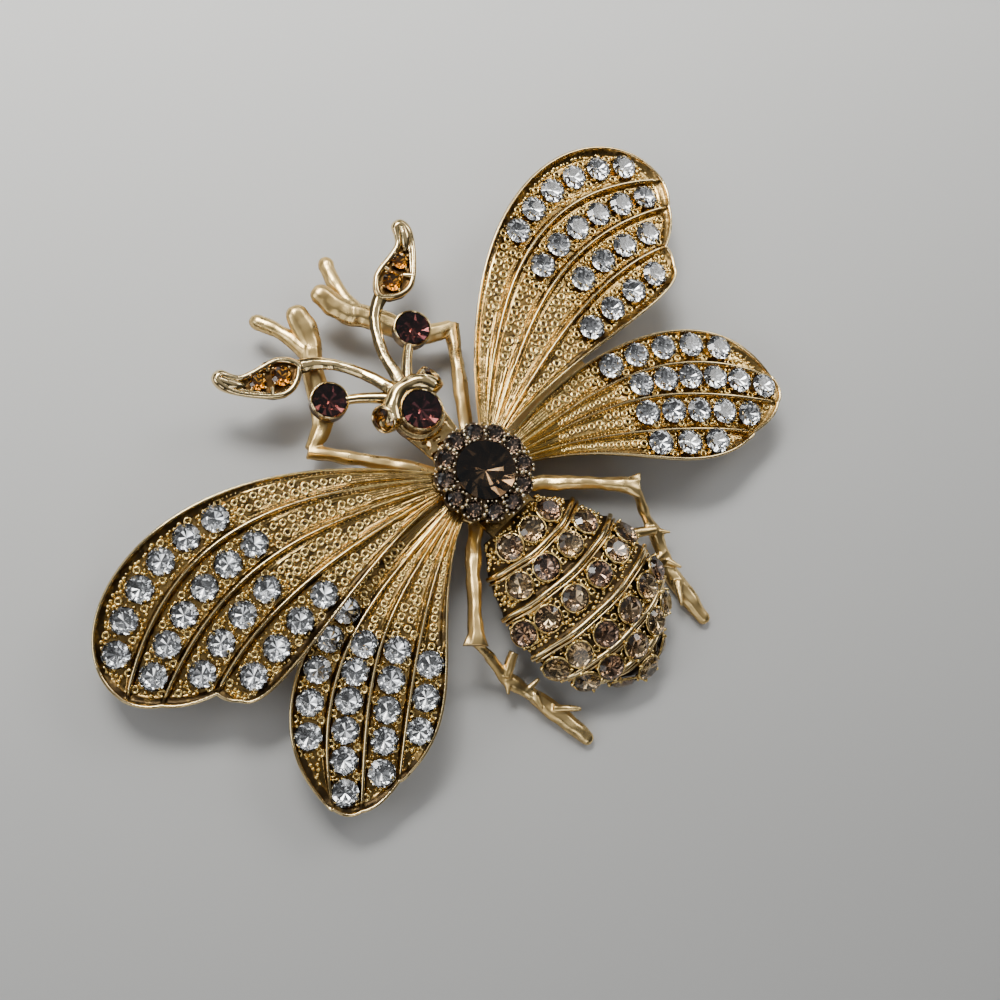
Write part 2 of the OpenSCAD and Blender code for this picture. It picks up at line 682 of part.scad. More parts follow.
module leaf() {
    translate([leaf_root[0], leaf_root[1], leaf_top - leaf_wall]) rotate([0, 0, leaf_turn])
        difference() {
            linear_extrude(leaf_wall) polygon(leaf_plan(0));
            intersection() {
                translate([0, 0, leaf_wall - leaf_hollow])
                    linear_extrude(leaf_wall) polygon(leaf_plan(leaf_rim));
                translate([-cut_past, -leaf_width, 0])
                    cube([leaf_length * leaf_hollow_end + cut_past, 2 * leaf_width, 2 * leaf_wall]);
            }
        }
}

// Long antenna from the brow to the leaf, on the right hand side
// Columns: x, y, z, share of the width, share of the thickness
ANTENNA_RUN = [
    [0.25, 8.60, 5.30, 1.15, 0.95],
    [0.62, 9.90, 5.15, 1.00, 0.85],
    [1.10, 11.60, 4.80, 0.90, 0.75],
    [2.20, 13.60, 4.50, 0.90, 0.70],
    [3.30, 14.70, 4.38, 1.05, 0.70],
    [4.30, 15.20, 4.35, 1.20, 0.70]
];
// Short antenna from the brow to the round cup
SHORT_RUN = [
    [0.55, 8.50, 4.85, 1.00, 0.90],
    [1.60, 9.60, 4.55, 0.75, 0.75],
    [2.60, 10.50, 4.35, 0.60, 0.60],
    [3.60, 11.20, 4.15, 0.65, 0.60]
];
// Brow band from the middle to the right eye
BROW_RUN = [
    [-0.40, 8.85, 5.35, 1.10, 1.00],
    [0.40, 8.85, 5.35, 1.10, 1.00],
    [1.20, 8.62, 5.35, 1.05, 1.00],
    [1.95, 8.22, 5.20, 1.10, 1.10],
    [2.40, 7.98, 5.10, 1.10, 1.10]
];
function sized(rows, width) = [for (r = rows) [r[0], r[1], r[2], r[3] * width, r[4] * width]];

module head() {
    neck_z = head_tab_z;
    color(pale_gold) difference() {
        union() {
            translate([0, 0, head_tab_z]) cylinder(h = head_tab, r = plate_r * 0.75, $fn = round_fn);
            translate([0, 0, head_tab_z]) linear_extrude(head_tab)
                polygon([[-1.3, 1.5], [1.3, 1.5], [1.9, head_y - 0.6], [-1.9, head_y - 0.6]]);
            translate([0, head_y, neck_z]) cylinder(h = 0.9, r = 2.0, $fn = round_fn);
            translate([0, head_y, head_top]) stone_cup(head_stone_d, head_cup_depth);
            both_sides() at_eye() stone_cup(eye_stone_d, eye_cup_depth);
            translate([0, head_y + 1.6, 4.75]) sphere(r = 0.85, $fn = small_fn);
            both_sides() {
                oval_bar(smooth_rows(sized(BROW_RUN, antenna_width), 2));
                oval_bar(smooth_rows(sized(ANTENNA_RUN, antenna_width), 2));
                oval_bar(smooth_rows(sized(SHORT_RUN, antenna_width), 1));
                leaf();
                translate([antenna_x, antenna_y, antenna_top])
                    stone_cup(antenna_stone_d, antenna_cup_depth);
            }
        }
        translate([0, 0, head_tab_z - cut_past])
            cylinder(h = head_tab + 2 * cut_past, r = rivet_r + rivet_gap, $fn = round_fn);
        translate([0, head_y, head_top - stone_depth(head_stone_d) - stone_gap])
            cylinder(h = 3, r = head_stone_d / 2 + stone_gap, $fn = round_fn);
        both_sides() at_eye() translate([0, 0, -stone_depth(eye_stone_d) - stone_gap])
            cylinder(h = 1, r = eye_stone_d / 2 + stone_gap, $fn = round_fn);
    }
}

module head_stone() {
    color(plum_glass) translate([0, head_y, head_top + stone_over_rim]) cut_stone(head_stone_d, 12);
}

module eye_stone(side) {
    color(amber_glass) mirror([side == left ? 1 : 0, 0, 0]) at_eye()
        translate([0, 0, stone_over_rim]) cut_stone(eye_stone_d);
}

module antenna_stone(side) {
    color(plum_glass) translate([side * antenna_x, antenna_y, antenna_top + stone_over_rim])
        cut_stone(antenna_stone_d, 12);
}

module leaf_stone(side, place) {
    d = place == 0 ? leaf_inner_d : leaf_outer_d;
    seat = leaf_top - leaf_hollow + stone_gap + stone_depth(d);
    at = LEAF_STONES[place];
    color(amber_glass) mirror([side == left ? 1 : 0, 0, 0])
        translate([leaf_root[0], leaf_root[1], seat]) rotate([0, 0, leaf_turn])
            translate([at[0] * leaf_length, at[1] * leaf_width, 0]) cut_stone(d);
}

// Front leg on the right hand side, the lengths along Y are shares of the front reach
// Columns: x, share of the reach, z, share of the thickness across and up
FRONT_THIGH = [
    [1.60, 0.100, 3.06, 1.10, 0.40],
    [2.45, 0.165, 3.06, 1.05, 0.45],
    [3.40, 0.230, 3.02, 1.05, 0.62],
    [5.30, 0.350, 2.80, 1.00, 0.90],
    [6.90, 0.450, 2.65, 1.00, 0.95],
    [7.70, 0.500, 2.60, 1.10, 0.90]
];
FRONT_SHIN = [
    [7.55, 0.496, 2.60, 0.90, 0.90],
    [6.50, 0.512, 2.60, 1.25, 1.00],
    [5.10, 0.553, 2.65, 1.50, 1.00],
    [4.15, 0.620, 2.75, 1.40, 1.00],
    [3.50, 0.685, 2.85, 1.25, 1.00],
    [2.75, 0.738, 2.95, 1.20, 1.00],
    [2.15, 0.772, 3.00, 1.30, 1.00]
];
FORK_THIN = [
    [2.45, 0.758, 2.95, 1.00, 0.90],
    [2.65, 0.840, 2.80, 0.70, 0.70],
    [3.00, 0.915, 2.55, 0.60, 0.60],
    [3.60, 0.982, 2.30, 0.80, 0.75]
];
FORK_THICK = [
    [2.50, 0.742, 2.95, 1.00, 0.90],
    [1.90, 0.788, 3.05, 1.35, 0.80],
    [1.45, 0.845, 3.25, 1.45, 0.70],
    [1.22, 0.905, 3.50, 1.15, 0.70]
];
// Rear leg on the right hand side, the lengths along Y are shares of the rear reach
REAR_THIGH = [
    [1.80, -0.100, 3.06, 1.00, 0.40],
    [2.75, -0.135, 3.06, 1.05, 0.45],
    [3.90, -0.175, 3.25, 1.10, 0.80],
    [5.20, -0.235, 3.60, 1.05, 1.00],
    [7.10, -0.330, 4.00, 0.95, 1.00],
    [8.40, -0.398, 4.20, 1.15, 1.00],
    [9.10, -0.432, 4.25, 1.85, 0.85]
];
REAR_SHIN = [
    [8.90, -0.420, 4.10, 0.70, 0.80],
    [8.60, -0.490, 3.00, 0.66, 0.70],
    [8.50, -0.560, 1.95, 0.85, 0.80],
    [8.35, -0.620, 1.45, 1.15, 0.90],
    [7.90, -0.680, 1.15, 0.95, 0.80],
    [7.55, -0.730, 1.00, 0.90, 0.80]
];
// Columns: x, share of the reach, z as a share of the foot's half thickness, width, thickness shares
FOOT_RUN = [
    [7.60, -0.720, 1.30, 0.75, 0.75],
    [7.30, -0.785, 1.12, 1.00, 0.90],
    [7.10, -0.860, 1.02, 1.00, 0.90],
    [6.88, -0.935, 0.94, 0.85, 0.85],
    [6.80, -0.975, 0.86, 0.72, 0.80]
];
// Spurs of a rear leg
// Columns: x, share of the reach, z, turn in degrees, length
SPURS = [
    [8.45, -0.600, 1.60, -50, 1.3],
    [7.60, -0.715, 1.20, -70, 1.3],
    [8.05, -0.685, 1.20, 180, 1.5],
    [7.15, -0.800, 1.05, -131, 2.1]
];
spur_r = 0.42;
spur_rise = 14;
// Strut from a rear shin towards the abdomen, with the columns of the legs
STRUT = [
    [8.45, -0.597, 1.90, 0.70, 0.70],
    [7.60, -0.570, 2.15, 0.75, 0.70],
    [6.80, -0.550, 2.35, 0.70, 0.65]
];

function leg_rows(rows, reach, thick) =
    [for (r = rows) [r[0], r[1] * reach, r[2], r[3] * thick, r[4] * thick]];
foot_half = foot_width * 0.4;
foot_rows = [for (r = FOOT_RUN)
    [r[0], r[1] * rear_leg_reach, r[4] * foot_half + (r[2] - r[4]) * foot_half * 0.999,
     r[3] * foot_width, r[4] * foot_half * 2]];

module front_leg() {
    oval_bar(smooth_rows(leg_rows(FRONT_THIGH, front_leg_reach, leg_thick), 1));
    oval_bar(smooth_rows(leg_rows(FRONT_SHIN, front_leg_reach, leg_thick), 2));
    oval_bar(rounded_end(smooth_rows(leg_rows(FORK_THIN, front_leg_reach, leg_thick), 1), 1));
    oval_bar(rounded_end(smooth_rows(leg_rows(FORK_THICK, front_leg_reach, leg_thick), 1), 1));
}

module rear_leg() {
    oval_bar(smooth_rows(leg_rows(REAR_THIGH, rear_leg_reach, leg_thick), 1));
    oval_bar(smooth_rows(leg_rows(REAR_SHIN, rear_leg_reach, leg_thick), 2));
    oval_bar(rounded_end(smooth_rows(foot_rows, 1), 0.8));
    oval_bar(leg_rows(STRUT, rear_leg_reach, leg_thick));
    for (s = SPURS) translate([s[0], s[1] * rear_leg_reach, s[2]]) rotate([0, 0, s[3]])
        rotate([0, 90 - spur_rise, 0]) cylinder(h = s[4], r1 = spur_r, r2 = spur_r * 0.3, $fn = 6);
}

module legs() {
    color(bright_gold) difference() {
        union() {
            translate([0, 0, leg_z]) cylinder(h = leg_plate, r = plate_r, $fn = round_fn);
            both_sides() {
                front_leg();
                rear_leg();
            }
        }
        translate([0, 0, leg_z - cut_past])
            cylinder(h = leg_plate + 2 * cut_past, r = rivet_r + rivet_gap, $fn = round_fn);
    }
}

// Back bar with its boss, hinge knuckle, pin wire and catch
knuckle_r = bar_z / 2;
knuckle_length = 2.4;
catch_half = 0.8;
catch_slot = 1.1;
boss_r = 2.4;
wire_z = knuckle_r;
hinge_x = -bar_length / 2 + knuckle_r;
catch_x = bar_length / 2 - 1.2;

module brooch_pin() {
    catch_inner = bar_z / 2 - catch_wall;
    color(bright_gold) difference() {
        union() {
            translate([-bar_length / 2, pin_y - bar_width / 2, bar_z])
                cube([bar_length, bar_width, bar_wall]);
            translate([0, 0, bar_z]) cylinder(h = bar_wall, r = boss_r, $fn = round_fn);
            translate([hinge_x, pin_y + knuckle_length / 2, knuckle_r]) rotate([90, 0, 0])
                cylinder(h = knuckle_length, r = knuckle_r, $fn = round_fn);
            translate([hinge_x - knuckle_r * 0.7, pin_y - knuckle_length / 2, knuckle_r])
                cube([knuckle_r * 1.4, knuckle_length, bar_z + 0.1 - knuckle_r]);
            translate([hinge_x, pin_y, wire_z]) rotate([0, 90, 0])
                cylinder(h = catch_x + 1 - hinge_x, r = wire_r, $fn = small_fn);
            translate([catch_x - catch_half, pin_y, bar_z / 2]) rotate([0, 90, 0]) difference() {
                cylinder(h = 2 * catch_half, r = bar_z / 2, $fn = round_fn);
                translate([0, 0, -cut_past])
                    cylinder(h = 2 * (catch_half + cut_past), r = catch_inner, $fn = round_fn);
                translate([-catch_slot / 2, 0, -cut_past])
                    cube([catch_slot, bar_z, 2 * (catch_half + cut_past)]);
            }
            translate([catch_x - catch_half, pin_y - bar_z / 2, bar_z - catch_wall])
                cube([2 * catch_half, bar_z, catch_wall + 0.1]);
        }
        translate([0, 0, bar_z - cut_past])
            cylinder(h = bar_wall + 2 * cut_past, r = rivet_r + rivet_gap, $fn = round_fn);
    }
}

forewings();
hindwings();
abdomen();
head();
thorax_crown();
legs();
brooch_pin();
color(clear_glass) lane_stones(FORE, fore_lane_middle, fore_turn, left);  // forewing_stones_left
color(clear_glass) lane_stones(FORE, fore_lane_middle, fore_turn, right);  // forewing_stones_right
color(clear_glass) lane_stones(HIND, hind_lane_middle, hind_turn, left);  // hindwing_stones_left
color(clear_glass) lane_stones(HIND, hind_lane_middle, hind_turn, right);  // hindwing_stones_right
abdomen_stones();
halo_stones();
thorax_stone();
head_stone();
eye_stone(left);  // eye_stone_left
eye_stone(right);  // eye_stone_right
antenna_stone(left);  // antenna_stone_left
antenna_stone(right);  // antenna_stone_right
leaf_stone(left, 0);  // leaf_stone_inner_left
leaf_stone(left, 1);  // leaf_stone_outer_left
leaf_stone(right, 0);  // leaf_stone_inner_right
leaf_stone(right, 1);  // leaf_stone_outer_right
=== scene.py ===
# %% [markdown]
# An insect brooch lies face up on a pale table. It is a stack of thin gold plated castings on one
# rivet, and each casting holds small cut stones. The solids of the part say where everything is. This
# lesson loads them as a fixed frame and dresses each one in finer metal, beads and glass.

import math
import random

import bpy
import numpy as np
from mathutils import Matrix, Vector, noise


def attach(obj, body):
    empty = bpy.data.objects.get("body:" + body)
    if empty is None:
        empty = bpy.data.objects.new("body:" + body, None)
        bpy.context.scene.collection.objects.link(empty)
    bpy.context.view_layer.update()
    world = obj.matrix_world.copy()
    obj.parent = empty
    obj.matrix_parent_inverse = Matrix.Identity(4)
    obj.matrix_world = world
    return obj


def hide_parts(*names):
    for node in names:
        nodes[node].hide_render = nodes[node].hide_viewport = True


MM = 0.001
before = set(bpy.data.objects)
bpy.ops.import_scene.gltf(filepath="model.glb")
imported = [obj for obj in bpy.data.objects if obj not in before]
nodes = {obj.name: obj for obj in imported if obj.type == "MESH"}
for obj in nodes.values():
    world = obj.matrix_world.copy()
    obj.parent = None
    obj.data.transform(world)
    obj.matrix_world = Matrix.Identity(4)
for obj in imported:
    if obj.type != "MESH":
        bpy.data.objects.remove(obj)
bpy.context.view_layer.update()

# %% [markdown]
# The camera stands where the photographer stood: nearly above the brooch, turned so that the head points
# up and left. Its directions are written out, because a hand held camera follows no round angle.

# %% Camera
CAMERA_PLACE = Vector((-38.28, -3.27, 118.53)) * MM
CAMERA_RIGHT = Vector((0.6893, -0.6885, 0.2254))
CAMERA_AHEAD = Vector((0.3181, 0.0080, -0.9480))


def turn_from_axes(right, ahead):
    """A rotation whose X is right and whose -Z looks ahead."""
    back = -ahead.normalized()
    right = (right - back * right.dot(back)).normalized()
    return Matrix((right, back.cross(right), back)).transposed()


bpy.ops.object.camera_add()
camera = bpy.context.object
camera.matrix_world = Matrix.Translation(CAMERA_PLACE) @ turn_from_axes(CAMERA_RIGHT, CAMERA_AHEAD).to_4x4()
camera.data.lens = 57.6
camera.data.sensor_width = 36
camera.data.clip_start = 0.005
bpy.context.scene.camera = camera
print("camera", round(CAMERA_PLACE.length / MM), "mm from the middle")

# %% [markdown]
# Materials are small sums on numbers that change over a surface. A tiny class wraps a socket, so that a
# mask is written as ordinary maths, and one method adds every other kind of node.


# %% Shader maths
class Number:
    """A socket that carries a number, with the maths operators that this lesson uses."""

    def __init__(self, tree, socket):
        self.tree = tree
        self.socket = socket

    def __add__(self, other):
        return self.tree.maths("ADD", self, other)

    def __sub__(self, other):
        return self.tree.maths("SUBTRACT", self, other)

    def __rsub__(self, other):
        return self.tree.maths("SUBTRACT", other, self)

    def __mul__(self, other):
        return self.tree.maths("MULTIPLY", self, other)

    __radd__ = __add__
    __rmul__ = __mul__


class Tree:
    """A node tree that is written as sums."""

    def __init__(self, tree):
        self.tree = tree

    def link(self, target, value):
        if isinstance(value, Number):
            value = value.socket
        if isinstance(value, bpy.types.NodeSocket):
            self.tree.links.new(value, target)
        else:
            target.default_value = value

    def node(self, kind, out, inputs=(), **settings):
        """A node of this kind with its settings first and then its sockets, by name or number."""
        made = self.tree.nodes.new("ShaderNode" + kind)
        for name, value in settings.items():
            setattr(made, name, value)
        for name, value in dict(inputs).items():
            self.link(made.inputs[name], value)
        return made.outputs[out]

    def maths(self, operation, first, second=0.0):
        return Number(self, self.node("Math", 0, {0: first, 1: second}, operation=operation))

    def step(self, value, low, high):
        """0 below low, 1 above high, and smooth between them."""
        return Number(self, self.node("MapRange", 0, {"Value": value, "From Min": low, "From Max": high},
                                      interpolation_type="SMOOTHSTEP"))

    def mixed(self, factor, low, high):
        """A colour between two colours."""
        return self.node("Mix", 2, {"Factor": factor, 6: low, 7: high}, data_type="RGBA")


class Finish(Tree):
    """A material with one Principled shader."""

    def __init__(self, name, **sockets):
        self.material = bpy.data.materials.new(name)
        self.material.use_nodes = True
        super().__init__(self.material.node_tree)
        self.shader = self.tree.nodes["Principled BSDF"]
        for socket, value in sockets.items():
            self.shader.inputs[socket.replace("_", " ")].default_value = value

    def noise(self, scale, detail=2.0, roughness=0.5):
        """Noise in the object's own place, with the scale in grains per metre."""
        place = self.node("TexCoord", "Object")
        return Number(self, self.node("TexNoise", 0, {"Vector": place, "Scale": scale, "Detail": detail,
                                                      "Roughness": roughness}))

    def attribute(self, name):
        return Number(self, self.node("Attribute", "Fac", attribute_name=name))

    def feed(self, socket, value):
        self.link(self.shader.inputs[socket], value)
        return self

    def bump(self, height, distance, strength=1.0):
        return self.feed("Normal", self.node("Bump", "Normal", {"Height": height, "Distance": distance,
                                                                "Strength": strength}))


print("helpers for shader maths are ready")

# %% [markdown]
# Gold and glass show what is around them. So the room matters as much as the lamps: a broad soft window
# beyond the head, a weaker one on the left, and dark places that the metal can mirror, above all where
# the photographer stands.


# %% Light
def soft_lamp(name, place, size, watts, colour, aim=(0, 0, 0), spread=180):
    """A square lamp at a place in mm that shines at an aim."""
    bpy.ops.object.light_add(type="AREA")
    lamp = bpy.context.object
    lamp.name = name
    place = Vector(place) * MM
    back = place - Vector(aim) * MM
    lamp.matrix_world = Matrix.Translation(place) @ back.to_track_quat("Z", "Y").to_matrix().to_4x4()
    lamp.data.spread = math.radians(spread)
    lamp.data.shape = "RECTANGLE"
    lamp.data.size = size[0] * MM
    lamp.data.size_y = size[1] * MM
    lamp.data.energy = watts
    lamp.data.color = colour
    return lamp


soft_lamp("window", (100, 210, 240), (230, 150), 0.54, (1.0, 0.99, 0.96), aim=(80, 122, 0), spread=54)
soft_lamp("side_window", (-310, 210, 250), (170, 150), 0.36, (0.96, 0.98, 1.0))
soft_lamp("door", (300, -20, 260), (120, 130), 0.30, (1.0, 0.98, 0.94))
soft_lamp("far_window", (-240, -230, 210), (110, 110), 0.10, (1.0, 0.99, 0.97))

world = bpy.context.scene.world or bpy.data.worlds.new("room")
bpy.context.scene.world = world
world.use_nodes = True
room = Tree(world.node_tree)
room_way = room.node("TexCoord", "Generated")


def toward(direction, wide, narrow):
    """A soft spot on the room's wall: 1 inside the narrow angle, 0 outside the wide one."""
    straight = room.node("VectorMath", "Value", {0: room_way, 1: Vector(direction).normalized()},
                         operation="DOT_PRODUCT")
    return room.step(straight, math.cos(math.radians(wide)), math.cos(math.radians(narrow)))


ceiling = toward((0.20, 0.12, 0.97), 58, 12)
dark_wall = toward((0.10, -0.85, 0.40), 62, 25)
photographer = toward((-0.42, -0.20, 0.88), 24, 14)
room_light = (0.09 + ceiling * 0.22) * (1.0 - photographer * 0.75) * (1.0 - dark_wall * 0.60)
# where the panes of the windows stand, seen from the brooch
PANES = ((-0.80, -0.15, 0.60), (-0.35, 0.75, 0.80), (0.88, 0.30, 0.65), (-0.35, -0.70, 0.75),
         (0.30, 0.95, 0.40))
for way in PANES:
    room_light = room_light + toward(way, 13, 9) * 1.3
background = world.node_tree.nodes["Background"]
background.inputs["Color"].default_value = (0.97, 0.98, 1.0, 1)
room.link(background.inputs["Strength"], room_light)
print("four lamps, a pale ceiling and panes on dark walls")


# %% [markdown]
# The castings are plated in several tones of gold. On the real brooch the low places of the wings and of
# the abdomen look dull and dark. Those pieces carry painted shade: a number called shade, which is 1 in a
# groove and 0 on a rib, by which the finish darkens to a painted shade tone.


# %% Gold finishes
# painted half shade: the colour between a polished rib and its groove in painted shade
PAINTED_HALF_SHADE = (0.44, 0.27, 0.085, 1)


def gold(name, bright, deep, rough, grain_depth=0.00001, painted_shade_tone=None):
    """Gold that wanders between two tones, and sinks to a painted shade tone where its piece carries painted
    shade.
    """
    finish = Finish(name, Metallic=1.0)
    worn = finish.step(finish.noise(260, 3.0), 0.35, 0.65)
    speck = finish.noise(2600, 3.0, 0.6)
    height = speck
    colour = finish.mixed(worn * 0.4, bright, deep)
    roughness = rough + worn * 0.06 + (speck - 0.5) * 0.10
    # painted shade: where the shade number is high, the colour sinks through the painted half shade to the
    # painted shade tone, mottled by lumps
    if painted_shade_tone:
        lump = finish.noise(1500)
        dip = finish.attribute("shade") * (lump * 1.6 + 0.15) + (speck - 0.5) * 0.25
        height = speck * 0.5 + lump * finish.attribute("shade") * 2.0
        low = finish.step(dip, 0.35, 0.95)
        colour = finish.mixed(finish.step(dip, 0.0, 0.5) * 0.9, colour, PAINTED_HALF_SHADE)
        colour = finish.mixed(low * 0.94, colour, painted_shade_tone)
        roughness = roughness + low * 0.22
    finish.feed("Base Color", colour).feed("Roughness", roughness)
    finish.bump(height, grain_depth)
    return finish.material


antique_gold = gold("antique_gold", (0.89, 0.67, 0.27, 1), (0.78, 0.53, 0.16, 1), rough=0.16,
                    grain_depth=0.00004, painted_shade_tone=(0.040, 0.027, 0.016, 1))
pale_gold = gold("pale_gold", (0.90, 0.70, 0.37, 1), (0.80, 0.56, 0.23, 1), rough=0.08,
                 grain_depth=0.00003, painted_shade_tone=(0.075, 0.036, 0.012, 1))
bright_gold = gold("bright_gold", (0.96, 0.70, 0.31, 1), (0.84, 0.53, 0.17, 1), rough=0.27,
                   grain_depth=0.00002, painted_shade_tone=(0.20, 0.10, 0.03, 1))
dark_gold = gold("dark_gold", (0.16, 0.11, 0.07, 1), (0.05, 0.034, 0.024, 1), rough=0.28)
bead_gold = gold("bead_gold", (0.93, 0.82, 0.60, 1), (0.78, 0.60, 0.33, 1), rough=0.12)
print("golds:", ", ".join(m.name for m in (antique_gold, pale_gold, bright_gold, dark_gold, bead_gold)))

# %% [markdown]
# A glass stone has a clear crown over a pavilion that is silvered like a mirror. Light enters the crown,
# is turned back by the silvered facets and leaves in another direction, which makes the star of light and
# dark triangles. So each stone has two finishes: tinted glass above and a mirror below.


# %% Glass and foil finishes
DULL_SHINE = 0.2


def glass(name, tint, second, shine):
    """Glass in two tints that change from stone to stone. A dull one bends light less as well."""
    ior = 1.5 if shine < DULL_SHINE else 1.6
    finish = Finish(name, Roughness=0.0, IOR=ior, Transmission_Weight=1.0, Specular_IOR_Level=shine)
    finish.feed("Base Color", finish.mixed(finish.step(finish.noise(330, 0.0), 0.42, 0.58), tint, second))
    return finish.material


def foil(name, tint, rough=0.06):
    return Finish(name, Base_Color=tint, Metallic=1.0, Roughness=rough).material


# two tints of the glass, the silver behind it and the shine of its face
TONES = {
    "clear": ((0.98, 0.985, 0.99, 1), (0.95, 0.955, 0.95, 1), (0.93, 0.94, 0.95, 1), 0.5),
    "brown": ((0.33, 0.235, 0.20, 1), (0.68, 0.58, 0.41, 1), (0.84, 0.73, 0.58, 1), 0.4),
    "plum": ((0.085, 0.032, 0.034, 1), (0.062, 0.024, 0.034, 1), (0.98, 0.74, 0.60, 1), 0.1),
    "amber": ((0.82, 0.50, 0.09, 1), (0.76, 0.44, 0.08, 1), (0.62, 0.45, 0.16, 1), 0.3),
    "honey": ((0.40, 0.21, 0.05, 1), (0.46, 0.27, 0.06, 1), (0.60, 0.44, 0.16, 1), 0.2),
    "smoke": ((0.066, 0.048, 0.032, 1), (0.058, 0.046, 0.032, 1), (0.96, 0.74, 0.52, 1), 0.02),
    "umber": ((0.080, 0.062, 0.054, 1), (0.13, 0.102, 0.086, 1), (0.80, 0.70, 0.60, 1), 0.6),
}
stone_finish = {tone: (glass("glass_" + tone, tint, second, shine), foil("foil_" + tone, back))
                for tone, (tint, second, back, shine) in TONES.items()}
print("stones in", ", ".join(stone_finish))


# %% [markdown]
# Most pieces start as a primitive mesh that is then moved, extruded and closed up in edit mode. These
# small tools keep each of those steps to one line.


# %% Small tools
# points nearer than this, in metres, become one
MERGE = 0.000002


def smooth(value, low, high):
    """0 below low, 1 above high, and smooth between them."""
    t = np.clip((value - low) / (high - low), 0, 1)
    return t * t * (3 - 2 * t)


def clear_selection():
    bpy.ops.object.select_all(action="DESELECT")


def added(primitive, **how):
    """A new mesh from one of Blender's primitives."""
    clear_selection()
    primitive(**how)
    return bpy.context.object


def edit(select="SELECT"):
    bpy.ops.object.mode_set(mode="EDIT")
    bpy.ops.mesh.select_all(action=select)


def done():
    bpy.ops.object.mode_set(mode="OBJECT")
    return bpy.context.object


def extrude(rise):
    bpy.ops.mesh.extrude_region_move(TRANSFORM_OT_translate={"value": (0, 0, rise)})


def closed_up(merge=0.0):
    """Merges points that are this near, in metres, and turns all the faces outwards."""
    bpy.ops.mesh.select_all(action="SELECT")
    if merge:
        bpy.ops.mesh.remove_doubles(threshold=merge)
    bpy.ops.mesh.normals_make_consistent(inside=False)
    return done()


def smooth_by(piece, degrees):
    clear_selection()
    piece.select_set(True)
    bpy.context.view_layer.objects.active = piece
    bpy.ops.object.shade_smooth_by_angle(angle=math.radians(degrees))
    return piece


print("mesh tools ready")

# %% [markdown]
# A finished piece gets its name and its materials, rides the root of the frame and replaces the solids
# that it stands for. Parts that are cast in one are joined first, so that they are one piece.


# %% Finished pieces
def finished(piece, name, materials, stands_for=()):
    """Names a piece, gives it its finishes and fixes it to the frame."""
    piece.name = name
    piece.data.name = name
    slots = piece.data.materials
    if len(materials) == 1:
        slots.clear()
    for i, material in enumerate(materials):
        if i < len(slots):
            slots[i] = material
        else:
            slots.append(material)
    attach(piece, "root")
    if stands_for:
        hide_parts(*stands_for)
    return piece


def join(pieces):
    """One piece, with its place and size taken into its mesh."""
    clear_selection()
    for piece in pieces:
        piece.select_set(True)
    bpy.context.view_layer.objects.active = pieces[0]
    if len(pieces) > 1:
        bpy.ops.object.join()
    bpy.ops.object.transform_apply(location=True, rotation=True, scale=True)
    return bpy.context.object


print("tools for finished pieces ready")

# %% [markdown]
# The wings follow rails: smooth curves that fan out from the rivet to the margin. Two neighbouring rails
# hold a lane. Every point of a wing is named by its lane, its share across the lane and its share along
# it, and the same few functions place the metal, the stones, the rings and the beads.

# %% Form of a wing
ROOT_X = 2.6
LOBE_REACH = 0.5


def unit(ways):
    """Directions of length 1, one to a row."""
    return ways / np.linalg.norm(ways, axis=-1, keepdims=True)


def heading(steps):
    """Directions of length 1 in plan, one to a column."""
    return steps / np.maximum(np.hypot(*steps), 1e-9)


